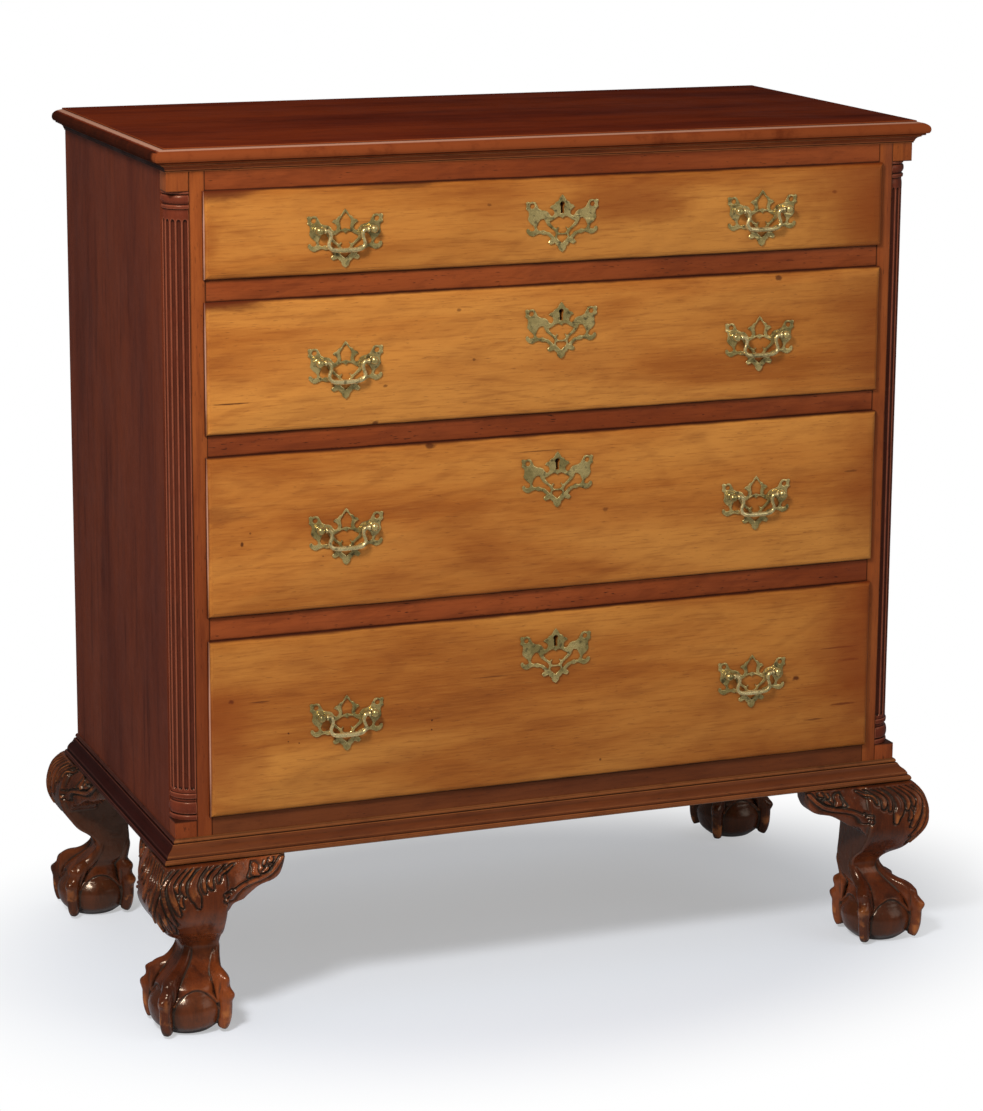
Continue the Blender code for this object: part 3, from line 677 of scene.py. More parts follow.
@dataclass(frozen=True)
class Wood:
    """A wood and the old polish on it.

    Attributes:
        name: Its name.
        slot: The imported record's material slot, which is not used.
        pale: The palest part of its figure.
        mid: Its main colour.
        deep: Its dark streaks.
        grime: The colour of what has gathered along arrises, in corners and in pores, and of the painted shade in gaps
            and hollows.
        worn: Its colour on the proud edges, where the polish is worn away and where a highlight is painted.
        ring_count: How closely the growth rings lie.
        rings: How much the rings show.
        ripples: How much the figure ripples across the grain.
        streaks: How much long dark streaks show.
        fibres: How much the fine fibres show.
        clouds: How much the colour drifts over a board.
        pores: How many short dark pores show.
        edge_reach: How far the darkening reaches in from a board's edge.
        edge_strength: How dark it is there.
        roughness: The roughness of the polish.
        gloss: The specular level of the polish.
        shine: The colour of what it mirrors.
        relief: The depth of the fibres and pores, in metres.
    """

    name: str
    slot: str
    pale: Colour
    mid: Colour
    deep: Colour
    grime: Colour
    worn: Colour = (0.36, 0.100, 0.022)
    ring_count: float = 60.0
    rings: float = 0.2
    ripples: float = 0.2
    streaks: float = 0.3
    fibres: float = 0.3
    clouds: float = 0.5
    pores: float = 0.4
    edge_reach: float = 0.004
    edge_strength: float = 0.6
    roughness: float = 0.34
    gloss: float = 0.2
    shine: Colour = (1.0, 0.72, 0.50)
    relief: float = 0.00012

    def tinted(self, share: float) -> Wood:
        """The same wood, paler or darker."""
        return replace(self, **{part: tuple(value * share for value in getattr(self, part))
                                for part in ("pale", "mid", "deep")})

    def board(
        self,
        name: str,
        grain: Axis,
        low: Sequence[float],
        high: Sequence[float],
        seed: int,
        edges: str = "xz",
        marks: Iterable[Mark] = (),
        moulded: bool = False,
    ) -> Material:
        """The material of one board, cut from its own place in the tree.

        Args:
            name: The board's name.
            grain: The axis that its grain follows.
            low: The board's lowest corner.
            high: Its highest corner.
            seed: A number that gives it its own figure.
            edges: The axes on whose edges the board is darkened, with dust and painted shadow.
            marks: Dark marks on its face.
            moulded: Whether its mesh has the marks "cut" and "high".

        Returns:
            The material.
        """
        rng = np.random.default_rng(seed)
        s = Shading(f"{self.name}_{name}")
        offset, tilt = drawn(rng, 3.0), drawn(rng, 0.03)
        colour, dark, height = self.figure(s, offset, 0.07, tilt, grain, rng)
        colour = self._edge_grime(s, colour, low, high, edges, offset)
        if moulded:
            colour = self._rubbed(s, colour, offset)
        for mark in marks:
            colour = self._marked(s, colour, mark)
        scuffs = s.cloud(s.moved(offset), 14.0, 4.0, 0.6)
        rough = s.span(scuffs, 0.3, 0.75, self.roughness - 0.06, self.roughness + 0.12)
        waves = s.relief(s.cloud(s.moved(offset, grain.lengthwise(0.4)), 22.0, 2.0), 0.0006)
        return self.polished(s, colour, s.sums("ADD", rough, s.times(dark, 0.08)), s.relief(height, self.relief, waves))

    def polished(self, s: Shading, colour: Socket, rough: Socket, normal: Socket) -> Material:
        """Ends a material with the wood's polish.

        Args:
            s: The material's nodes.
            colour: Its colour.
            rough: Its roughness.
            normal: Its relief.

        Returns:
            The material.
        """
        return s.finish({
            "Base Color": colour, "Roughness": rough, "Specular IOR Level": self.gloss,
            "Specular Tint": (*self.shine, 1.0), "Normal": normal,
        })

    def figure(
        self, s: Shading, offset: Point, along: float, tilt: Point, grain: Axis, rng: np.random.Generator
    ) -> tuple[Socket, Socket, Socket]:
        """Growth rings, ripples, fibres, pores and drifting colour.

        Args:
            s: The material's nodes.
            offset: The board's place in the tree.
            along: How far the growth rings run along the grain, less for longer ones.
            tilt: The small angle between board and grain.
            grain: The axis of the grain.
            rng: The board's own random numbers.

        Returns:
            The colour, a mask of the dark lines, and the height of the fibres.
        """
        slant = [0.0, 0.0, 0.0]
        slant[0 if grain is Axis.Y else 1] = float(rng.uniform(0.05, 0.3))
        drift = s.cloud(s.moved(offset, grain.lengthwise(0.18)), 10.0, 4.0, 0.55, 0.3)
        ripple = s.cloud(s.moved(offset, grain.lengthwise(0.3), tuple(slant)), 60.0, 3.0, 0.6, 0.3)
        growth = s.cloud(s.moved(offset, grain.lengthwise(along * 3), tilt), 4.2, 1.6, 0.45)
        ring = s.sums("SINE", s.times(growth, self.ring_count))
        streak = s.cloud(s.moved(offset, grain.lengthwise(5.0, 75.0)), 1.0, 3.0, 0.6, 0.5)
        fibre = s.cloud(s.moved(offset, grain.lengthwise(30.0, 520.0)), 1.0, 3.0, 0.6)
        pore = s.span(s.cloud(s.moved(offset, grain.lengthwise(90.0, 700.0)), 1.0, 1.0, 0.5), 0.68, 0.76)
        line = s.times(s.span(ring, 0.50, 1.0), s.span(ripple, 0.3, 0.6, 0.3, 1.0))
        dark = s.sums("ADD", s.times(line, self.rings), s.times(s.span(streak, 0.50, 0.80), self.streaks), clamp=True)
        colour = self.mid
        for share, strength, tone in (
            (s.span(drift, 0.36, 0.64), self.clouds, self.pale),
            (s.span(ripple, 0.42, 0.72), self.ripples, self.deep),
            (s.span(drift, 0.50, 0.26), self.clouds * 0.45, self.deep),
            (dark, 1.0, self.deep),
            (s.span(fibre, 0.48, 0.74), self.fibres, self.deep),
            (s.span(fibre, 0.46, 0.28), self.fibres * 0.5, self.pale),
            (pore, self.pores, self.grime),
        ):
            colour = s.blend(s.times(share, strength), colour, tone)
        return colour, dark, s.sums("SUBTRACT", fibre, s.times(pore, 0.8))

    def _edge_grime(
        self, s: Shading, colour: Socket, low: Sequence[float], high: Sequence[float], edges: str, offset: Point
    ) -> Socket:
        """Darkens a board unevenly towards its edges: dust along the arrises, and painted shadow in the gaps beside
        other parts.

        Args:
            s: The material's nodes.
            colour: The colour so far.
            low: The board's lowest corner.
            high: Its highest corner.
            edges: The axes whose edges count.
            offset: The board's place in the tree.

        Returns:
            The new colour.
        """
        if not edges:
            return colour
        split = s.nodes.new("ShaderNodeSeparateXYZ")
        s.put(split.inputs[0], s.place)
        nearest: Socket | None = None
        for letter in edges:
            axis = Axis[letter.upper()].value
            for distance in (
                s.sums("SUBTRACT", split.outputs[axis], low[axis]),
                s.sums("SUBTRACT", high[axis], split.outputs[axis]),
            ):
                nearest = distance if nearest is None else s.sums("MINIMUM", nearest, distance)
        wander = s.cloud(s.moved(offset), 12.0, 4.0, 0.65)
        near = s.sums("DIVIDE", nearest, s.times(s.span(wander, 0.3, 0.72, 0.7, 1.6), self.edge_reach))
        return s.blend(s.times(s.span(near, 1.0, 0.0), self.edge_strength), colour, self.grime)

    def _rubbed(self, s: Shading, colour: Socket, offset: Point) -> Socket:
        """Pales the proud edges, worn polish with painted highlights, and darkens the hollows, dust with painted shade.

        Args:
            s: The material's nodes.
            colour: The colour so far.
            offset: The board's place in the tree.

        Returns:
            The new colour.
        """
        patchy = s.cloud(s.moved(offset), 32.0, 5.0, 0.7)
        wear = s.times(s.mark("high"), s.span(patchy, 0.25, 0.52, 0.3, 1.0))
        colour = s.blend(s.times(wear, 0.85), colour, self.worn)
        soot_and_shade = s.times(s.mark("cut"), s.span(patchy, 0.2, 0.6, 0.7, 1.0))
        return s.blend(s.times(soot_and_shade, 0.92), colour, self.grime)

    def _marked(self, s: Shading, colour: Socket, mark: Mark) -> Socket:
        """Adds one mark.

        Args:
            s: The material's nodes.
            colour: The colour so far.
            mark: The mark.

        Returns:
            The new colour.
        """
        # A broad mark without a colour of its own takes a soft red-brown, which serves the blotches in the wood and the
        # painted shade at the fronts' right ends.
        broad = mark.radius >= BROAD_MARK
        stain = mark.colour or (BLOTCH_AND_PAINTED_SHADE if broad else self.grime)
        core = mark.radius * (0.25 if broad else 0.5)
        longer = (max(mark.stretch, 1.0) ** -0.7, 1.0, 1.0)
        ragged = s.cloud(s.moved((0.0, 0.0, 0.0), longer), 0.9 / mark.radius, 4.0, 0.65)
        away = s.length(s.moved((-mark.x, 0.0, -mark.z), (1.0 / mark.stretch, 0.0, 1.0)))
        far = s.times(away, s.span(ragged, 0.2, 0.8, 0.7, 1.4))
        return s.blend(s.span(far, mark.radius * 1.25, core, 0.0, mark.strength), colour, stain)


@dataclass(frozen=True)
class Carving:
    """The polish on carved wood, dark in the cuts, with dust and painted shade, and pale on the high places, with worn
    polish and painted highlights.
    """

    wood: Wood
    worn: Colour = (0.40, 0.125, 0.030)
    bare: Colour = (0.052, 0.018, 0.009)

    def leg(self, name: str, seed: int) -> Material:
        """The material of one leg, from the marks that its carver left on the mesh.

        Args:
            name: The leg's name.
            seed: A number that gives it its own figure.

        Returns:
            The material.
        """
        wood, s = self.wood, Shading(f"carved_{name}")
        rng = np.random.default_rng(seed)
        offset = drawn(rng, 3.0)
        colour, _, height = wood.figure(s, offset, 0.1, (0.1, 0.05, 0.0), Axis.Z, rng)
        patchy = s.cloud(s.moved(offset), 60.0, 3.0, 0.6)
        # Darker on the inward faces, a painted shade, and on the ball, its own darker colour.
        colour = s.blend(s.times(s.mark("bare"), 0.85), colour, self.bare)
        # Paler on the proud places: worn polish and painted highlights.
        wear = s.times(s.mark("high"), s.span(patchy, 0.46, 0.62))
        colour = s.blend(s.times(wear, 0.75), colour, self.worn)
        # Darker where the ambient occlusion finds little open space: painted shade in the recesses and where the ball
        # meets the floor.
        colour = s.blend(s.span(s.open_share(0.016), 0.80, 0.30, 0.0, 0.85), colour, wood.grime)
        # Darker along the carved grooves: dust with painted shade.
        soot_and_shade = s.times(s.mark("cut"), s.span(patchy, 0.2, 0.6, 0.75, 1.0))
        colour = s.blend(soot_and_shade, colour, wood.grime)
        tooled = s.relief(s.cloud(s.moved(offset), 90.0, 3.0), 0.0006)
        rough = s.sums("ADD", s.times(soot_and_shade, 0.3), wood.roughness)
        return wood.polished(s, colour, rough, s.relief(height, wood.relief, tooled))


@dataclass(frozen=True)
class Metal:
    """Old cast metal, dark in its recesses, a painted shade, with dark spots, and bright where cloths have polished it.
    """

    name: str
    bright: Colour
    dull: Colour
    dirt: Colour
    roughness: float = 0.3
    metallic: float = 1.0

    def material(self) -> Material:
        """The metal's material.

        Returns:
            The material.
        """
        s = Shading(self.name)
        spots = s.cloud(s.place, 160.0, 4.0, 0.6)
        broad = s.cloud(s.place, 45.0, 3.0, 0.6)
        colour = s.blend(s.span(broad, 0.35, 0.65), self.dull, self.bright)
        colour = s.blend(s.span(spots, 0.50, 0.70, 0.0, 0.75), colour, self.dirt)
        # Darker where the ambient occlusion finds little open space: painted shade round the posts and in the
        # piercings.
        colour = s.blend(s.span(s.open_share(0.004), 0.82, 0.30, 0.0, 0.95), colour, self.dirt)
        return s.finish({
            "Base Color": colour, "Metallic": self.metallic,
            "Roughness": s.span(spots, 0.3, 0.75, self.roughness - 0.08, self.roughness + 0.2),
            "Normal": s.relief(spots, 0.00016, s.relief(broad, 0.0012)),
        })


CHERRY = Wood(
    "cherry", "cherry", pale=(0.300, 0.068, 0.016), mid=(0.205, 0.040, 0.010), deep=(0.100, 0.018, 0.006),
    grime=(0.020, 0.006, 0.004), worn=(0.420, 0.125, 0.034), ripples=0.35, streaks=0.50, fibres=0.32,
    clouds=0.8, pores=0.8, edge_reach=0.0022, edge_strength=0.9,
)
# A darker copy of the cherry for the bottom rail and the base moulding's front: painted shade, darker towards the
# bottom.
SHADED_LOW_CHERRY = Wood(
    "low_cherry", "cherry", pale=(0.170, 0.045, 0.013), mid=(0.118, 0.030, 0.010), deep=(0.060, 0.014, 0.006),
    grime=(0.014, 0.008, 0.005), worn=(0.330, 0.110, 0.030), rings=0.12, ripples=0.3, streaks=0.35, fibres=0.25,
    clouds=0.6, pores=0.5, edge_reach=0.0022, edge_strength=0.85,
)
STILE_WOOD = replace(
    CHERRY, name="stile_cherry", pale=(0.340, 0.090, 0.018), mid=(0.235, 0.050, 0.012), deep=(0.105, 0.018, 0.006),
    rings=0.15, ripples=0.2, streaks=0.55, fibres=0.30, clouds=0.6, pores=0.5, edge_reach=0.0018, edge_strength=0.8,
)
DARK_CHERRY = Wood(
    "dark_cherry", "dark_cherry", pale=(0.042, 0.007, 0.004), mid=(0.024, 0.004, 0.003), deep=(0.012, 0.003, 0.002),
    grime=(0.008, 0.004, 0.003), worn=(0.125, 0.042, 0.028), rings=0.1, fibres=0.2, pores=0.3, edge_reach=0.002,
    edge_strength=0.5, gloss=0.05,
)
COLUMN_WOOD = Wood(
    "column_cherry", "dark_cherry", pale=(0.185, 0.036, 0.014), mid=(0.112, 0.021, 0.010), deep=(0.050, 0.010, 0.006),
    grime=(0.012, 0.005, 0.004), worn=(0.330, 0.100, 0.050), rings=0.1, ripples=0.3, fibres=0.2, clouds=0.6, pores=0.3,
    edge_reach=0.002, edge_strength=0.4, roughness=0.28, gloss=0.3,
)
SIDE_WOOD = Wood(
    "side_cherry", "dark_cherry", pale=(0.158, 0.033, 0.012), mid=(0.115, 0.024, 0.011), deep=(0.050, 0.012, 0.008),
    grime=(0.016, 0.006, 0.005), ripples=0.15, streaks=0.65, clouds=0.6, pores=0.2, edge_strength=0.5,
    roughness=0.42, gloss=0.06, shine=(1.0, 1.0, 1.0),
)
TOP_WOOD = Wood(
    "top_cherry", "dark_cherry", pale=(0.165, 0.025, 0.006), mid=(0.104, 0.014, 0.0045), deep=(0.042, 0.007, 0.004),
    grime=(0.014, 0.006, 0.004), worn=(0.250, 0.058, 0.016), rings=0.25, streaks=0.55, clouds=0.65, pores=0.3,
    edge_reach=0.003, edge_strength=0.3, roughness=0.42, gloss=0.002,
)
LEG_WOOD = Wood(
    "leg_cherry", "dark_cherry", pale=(0.250, 0.056, 0.013), mid=(0.105, 0.021, 0.006), deep=(0.024, 0.007, 0.004),
    grime=(0.015, 0.012, 0.009), rings=0.15, ripples=0.6, streaks=0.45, clouds=1.0, roughness=0.20, gloss=0.55,
    shine=(1.0, 0.80, 0.62),
)
MAPLE = Wood(
    "maple", "maple", pale=(0.545, 0.222, 0.043), mid=(0.365, 0.112, 0.018), deep=(0.165, 0.036, 0.008),
    grime=(0.055, 0.012, 0.006), ring_count=190.0, rings=0.15, ripples=0.19, streaks=0.04, fibres=0.34,
    clouds=0.84, pores=0.28, edge_reach=0.0026, edge_strength=1.0, roughness=0.36, gloss=0.16,
)
POPLAR = Wood(
    "poplar", "poplar", pale=(0.420, 0.300, 0.160), mid=(0.330, 0.220, 0.105), deep=(0.190, 0.110, 0.050),
    grime=(0.070, 0.040, 0.022), rings=0.35, ripples=0.1, streaks=0.45, clouds=0.6, pores=0.3,
    edge_reach=0.006, edge_strength=0.5, roughness=0.7, gloss=0.12, relief=0.0004,
)
BRASS = Metal("old_brass", (0.80, 0.61, 0.24), (0.44, 0.34, 0.12), (0.030, 0.026, 0.013), roughness=0.22, metallic=0.70)
WORN_BRASS = replace(BRASS, name="worn_brass", bright=(0.95, 0.76, 0.37), dull=(0.66, 0.52, 0.22), roughness=0.26)
IRON = Metal("old_iron", (0.16, 0.14, 0.12), (0.08, 0.07, 0.06), (0.05, 0.025, 0.015), roughness=0.55)


# Sub-assemblies


@dataclass
class Chest:
    """What the sub-assemblies share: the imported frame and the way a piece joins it."""

    frame: dict
    pieces: int = 0

    def join(
        self,
        name: str,
        mesh: Mesh,
        material: Material,
        body: str,
        nodes: Sequence[str] = (),
    ) -> bpy.types.Object:
        """Adds a piece to the chest.

        Args:
            name: The piece's name.
            mesh: Its mesh, in the chest's frame.
            material: Its material.
            body: The body it moves with.
            nodes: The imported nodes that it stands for.

        Returns:
            The piece.
        """
        mesh.materials.clear()
        mesh.materials.append(material)
        piece = on_bench(name, mesh)
        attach(piece, body)
        if nodes:
            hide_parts(*nodes)
        self.pieces += 1
        LOG.info("%s rides on %s with %d faces", name, body, len(mesh.polygons))
        return piece

    def board(
        self,
        name: str,
        low: Sequence[float],
        high: Sequence[float],
        wood: Wood,
        grain: Axis,
        seed: int,
        edges: str = "xz",
        ease: float = 0.0007,
        nodes: Sequence[str] = (),
        seen: Sequence[Point] = (),
    ) -> None:
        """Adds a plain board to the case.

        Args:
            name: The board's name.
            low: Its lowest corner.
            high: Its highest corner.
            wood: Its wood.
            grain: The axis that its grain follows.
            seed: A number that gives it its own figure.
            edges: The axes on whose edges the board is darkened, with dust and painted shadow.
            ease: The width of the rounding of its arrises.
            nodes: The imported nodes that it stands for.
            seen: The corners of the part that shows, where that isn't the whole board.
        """
        material = wood.board(name, grain, *(seen or (low, high)), seed, edges)
        self.join(name, board_mesh(name, low, high, ease), material, "case", nodes)

    def dress(self, node: str, material: Material, ease: float = 0.0006) -> None:
        """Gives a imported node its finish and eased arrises.

        Args:
            node: The node's name.
            material: Its material.
            ease: The width of the rounding of its arrises.
        """
        obj = self.frame["nodes"][node]
        for slot in obj.material_slots:
            slot.material = material
        if not obj.material_slots:
            obj.data.materials.append(material)
        eased = obj.modifiers.new("eased", "BEVEL")
        eased.width, eased.segments, eased.limit_method = ease, 2, "ANGLE"
        eased.angle_limit, eased.harden_normals = radians(40), False
        LOG.info("%s keeps its solid", node)


@dataclass
class Moulding:
    """A moulding in three mitred lengths, round the front and both sides of the case.

    Attributes:
        node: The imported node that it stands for.
        profile: Reach from the case and height over the moulding's foot, from the case round to the case.
        wood: Its wood.
        back_y: Where its side lengths end.
        gap: The gap between the mitred lengths.
        wander: How far its worn surface has moved at most.
        columns: How finely each length is divided.
    """

    node: str
    profile: Outline
    wood: Wood
    back_y: float = 0.234
    gap: float = 0.00012
    wander: float = 0.00016
    columns: int = 60

    def build(self, chest: Chest) -> None:
        """Makes the three lengths.

        Args:
            chest: The chest.
        """
        low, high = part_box(self.node)
        line = [(reach, up + low[2]) for reach, up in flowing(self.profile, closed=True)]
        for number, (part, sign) in enumerate((("front", 0), ("left", -1), ("right", 1))):
            name = f"{self.node}_{part}"
            mesh = mark_creases(solid_mesh(name, self._rows(line, sign), 24.0), 230.0, 280.0)
            # The side lengths take a much darker cherry than the front length.
            grain, wood, nodes = (Axis.Y, DARK_CHERRY, ()) if sign else (Axis.X, self.wood, (self.node,))
            material = wood.board(name, grain, low, high, 40 + number, edges="z", moulded=True)
            chest.join(name, mesh, material, "case", nodes)

    def _rows(self, line: Sequence[Flat], sign: int) -> list[list[Point]]:
        """The cross-sections of one length.

        Args:
            line: The profile.
            sign: The side's sign along X, or 0 for the front.

        Returns:
            Rows of points.
        """
        rows = []
        for share in np.linspace(0.0, 1.0, self.columns):
            row = []
            for reach, z in line:
                if sign:
                    start = CASE_FRONT - reach + self.gap
                    x, y = sign * (CASE_HALF + reach), start + (self.back_y - start) * share
                else:
                    end = CASE_HALF + reach - self.gap
                    x, y = -end + 2 * end * share, CASE_FRONT - reach
                worn = noise.noise(Vector((x * 14, y * 14, z * 30))) * self.wander * min(1.0, reach / 0.003)
                inward = max(worn, 0.0)
                row.append((x - sign * inward, y if sign else y + inward, z + worn * 0.4))
            rows.append(row)
        return rows


@dataclass
class TopBoard:
    """The top, one wide board with a moulded edge on the front and both sides.

    Attributes:
        edge: Inset from the board's edge and depth under its top, from the underside up.
        columns: How finely its front edge is divided.
        wander: How far its worn edge has moved at most.
    """

    edge: Outline = (
        (0.0046, 0.0175, CORNER), (0.0044, 0.0155, CORNER), (0.0014, 0.0148, CORNER),
        (0.0000, 0.0120, FLOW), (0.0001, 0.0085, FLOW), (0.0016, 0.0058, FLOW),
        (0.0058, 0.0032, FLOW), (0.0130, 0.0017, CORNER), (0.0133, 0.0002, FLOW),
        (0.0138, 0.0000, CORNER),
    )
    columns: int = 90
    wander: float = 0.00022

    def build(self, chest: Chest) -> None:
        """Makes the top.

        Args:
            chest: The chest.
        """
        low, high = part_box("top_board")
        rows = [self._ring(low, high, inset, high[2] - depth) for inset, depth in flowing(self.edge, 5)]
        mesh = mark_creases(solid_mesh("top", rows, 24.0))
        worn_and_lit, sooty_and_shaded = mesh.attributes["high"].data, mesh.attributes["cut"].data
        # The front edge's moulding is painted pale, a painted highlight over any worn polish, and the side edges below
        # the top 4 mm are painted dark, a painted shade.
        for n, vert in enumerate(mesh.vertices):
            if vert.co.y < low[1] + 0.0135 and vert.co.z > low[2] + 0.001:
                worn_and_lit[n].value = max(worn_and_lit[n].value, 0.9)
            elif abs(vert.co.x) > high[0] - 0.0100 and vert.co.z < high[2] - 0.0040:
                sooty_and_shaded[n].value = max(sooty_and_shaded[n].value, 0.8)
        # A painted highlight: a thin pale line along the rounded arris of the front edge, 2.3 mm under the top.
        shine = Mark(0.0, high[2] - 0.0023, 0.0008, 0.80, 4000.0, PAINTED_HIGHLIGHT)
        material = TOP_WOOD.board("top", Axis.X, low, high, 11, edges="xy", marks=(shine,), moulded=True)
        chest.join("top", mesh, material, "case", ("top_board",))

    def _ring(self, low: Vector, high: Vector, inset: float, z: float) -> list[Point]:
        """The board's outline at one height. Its back edge is square.

        Args:
            low: The board's lowest corner.
            high: Its highest corner.
            inset: How far the outline stands in from the front and side edges.
            z: Its height.

        Returns:
            The points of the outline.
        """
        left, right, front, back = low[0] + inset, high[0] - inset, low[1] + inset, high[1]
        half = self.columns // 2
        ring = between((left, front), (right, front), np.linspace(0, 1, self.columns, endpoint=False))
        ring += between((right, front), (right, back), np.linspace(0, 1, half, endpoint=False))
        ring += [(right, back), (left, back)]
        ring += between((left, front), (left, back), np.linspace(1, 0, half)[1:-1])
        return [(x, y + self.wander * noise.noise(Vector((x * 11, y * 11, 3 + z))) if y < back else y, z)
                for x, y in ring]


@dataclass
class Corner:
    """A front corner: its stile, the two square blocks, and the fluted quarter column between them.

    Attributes:
        side: Which front corner.
        joint: The gap between the glued pieces.
        recess: How far the column's middle lies in from the case's faces.
        radius: The column's radius.
        flutes: How many flutes the column has.
        flute_radius: The radius of their hollow.
        flute_depth: How deep they are.
        flute_end: How far they stop short of the capital and the base.
        shaft: The shaft's radius as a share of the column's.
        capital: Radius as a share of the column's, and distance under its top.
        base: Radius as a share of the column's, and height over its foot.
    """

    side: Side
    joint: float = 0.00015
    recess: float = 0.026
    radius: float = 0.0252
    flutes: int = 5
    flute_radius: float = 0.0031
    flute_depth: float = 0.0020
    flute_end: float = 0.0025
    shaft: float = 0.95
    capital: Outline = (
        (0.985, 0.0, CORNER), (1.0, 0.0012, FLOW), (0.985, 0.0026, CORNER),
        (0.93, 0.0031, CORNER), (0.93, 0.0040, CORNER), (0.99, 0.0050, FLOW),
        (1.020, 0.0078, FLOW), (1.010, 0.0108, FLOW), (0.955, 0.0134, CORNER),
        (0.925, 0.0142, CORNER), (0.925, 0.0152, CORNER), (0.985, 0.0160, FLOW),
        (1.0, 0.0178, FLOW), (0.985, 0.0196, CORNER), (0.925, 0.0203, CORNER),
        (0.920, 0.0222, FLOW), (0.945, 0.0262, FLOW), (0.95, 0.0290, CORNER),
    )
    base: Outline = (
        (0.95, 0.0330, CORNER), (0.945, 0.0318, CORNER), (0.99, 0.0312, FLOW),
        (1.0, 0.0290, FLOW), (0.985, 0.0262, CORNER), (0.925, 0.0254, CORNER),
        (0.915, 0.0240, FLOW), (0.925, 0.0214, CORNER), (0.985, 0.0206, FLOW),
        (1.025, 0.0170, FLOW), (1.030, 0.0120, FLOW), (0.995, 0.0078, CORNER),
        (0.93, 0.0070, CORNER), (0.93, 0.0058, CORNER), (1.0, 0.0050, FLOW),
        (1.020, 0.0026, FLOW), (1.015, 0.0, CORNER),
    )

    def build(self, chest: Chest) -> None:
        """Makes the corner's pieces.

        Args:
            chest: The chest.
        """
        word, sign = self.side.word, self.side.value
        post, column = f"corner_post_{word}", f"quarter_column_{word}"
        low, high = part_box(post)
        foot, head = (corner[2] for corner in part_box(column))
        inner, outer = sorted((abs(low[0]), abs(high[0])))
        edge = outer - self.recess
        for number, (name, near, far, bottom, top, wood, edges, nodes) in enumerate((
            ("stile", inner, edge - self.joint, low[2], high[2], STILE_WOOD, "xz", (post,)),
            ("lower_block", edge + self.joint, outer, low[2], foot - 2 * self.joint, CHERRY, "z", ()),
            ("upper_block", edge + self.joint, outer, head + 2 * self.joint, high[2], STILE_WOOD, "z", ()),
        )):
            left, right = self.side.span(near, far)
            chest.board(f"{name}_{word}", (left, low[1], bottom), (right, high[1], top), wood, Axis.Z,
                        60 + 5 * number + sign, edges, 0.0006, nodes)
        mesh = mark_creases(solid_mesh(column, self._rows(*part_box(column)), 38.0), 260.0, 520.0)
        material = COLUMN_WOOD.board(column, Axis.Z, *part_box(column), 70 + sign, edges="z", moulded=True)
        chest.join(f"column_{word}", mesh, material, "case", (column,))

    def _rows(self, low: Vector, high: Vector) -> list[list[Point]]:
        """The cross-sections of the fluted quarter column.

        Args:
            low: The column's lowest corner.
            high: Its highest corner.

        Returns:
            Rows of points, from its top down.
        """
        sign = self.side.value
        centre = Vector((sign * (CASE_HALF - self.recess), CASE_FRONT + self.recess, 0.0))
        head = [(r, high[2] - down) for r, down in flowing(self.capital, 4)]
        foot = [(r, low[2] + up) for r, up in flowing(self.base, 4)]
        top, bottom = head[-1][1], foot[0][1]
        tall, fine = top - bottom, 0.008
        ends = np.concatenate([np.linspace(0, fine, 14), np.linspace(fine, tall - fine, 40)[1:-1],
                               tall - np.linspace(fine, 0, 14)])
        rows = []
        for share, z in head + [(self.shaft, top - down) for down in ends[1:-1]] + foot:
            row = []
            for angle in np.linspace(0.0, pi / 2, 121):
                radius = self.radius * share
                if share == self.shaft and bottom < z < top:
                    radius -= self._flute(angle, min(z - bottom, top - z) - self.flute_end)
                radius *= 1.0 + 0.004 * noise.noise(Vector((angle * 2, z * 40, sign)))
                row.append((centre.x + sign * radius * cos(angle), centre.y - radius * sin(angle), z))
            rows.append(row + [(centre.x + sign * 0.0003, centre.y - 0.0003, z)])
        return rows

    def _flute(self, angle: float, inside: float) -> float:
        """How deep the flutes are at a place on the shaft.

        Args:
            angle: The place round the shaft.
            inside: The distance from the nearer end of the flutes, less than 0 outside them.

        Returns:
            The depth.
        """
        step = pi / 2 / self.flutes
        across = ((angle / step) % 1.0 - 0.5) * step * self.radius * self.shaft
        away = hypot(across, max(0.0, self.flute_radius - inside)) / (self.flute_radius * 0.92)
        return self.flute_depth * (1 - away ** 2) ** 0.5 if away < 1 and inside >= 0 else 0.0


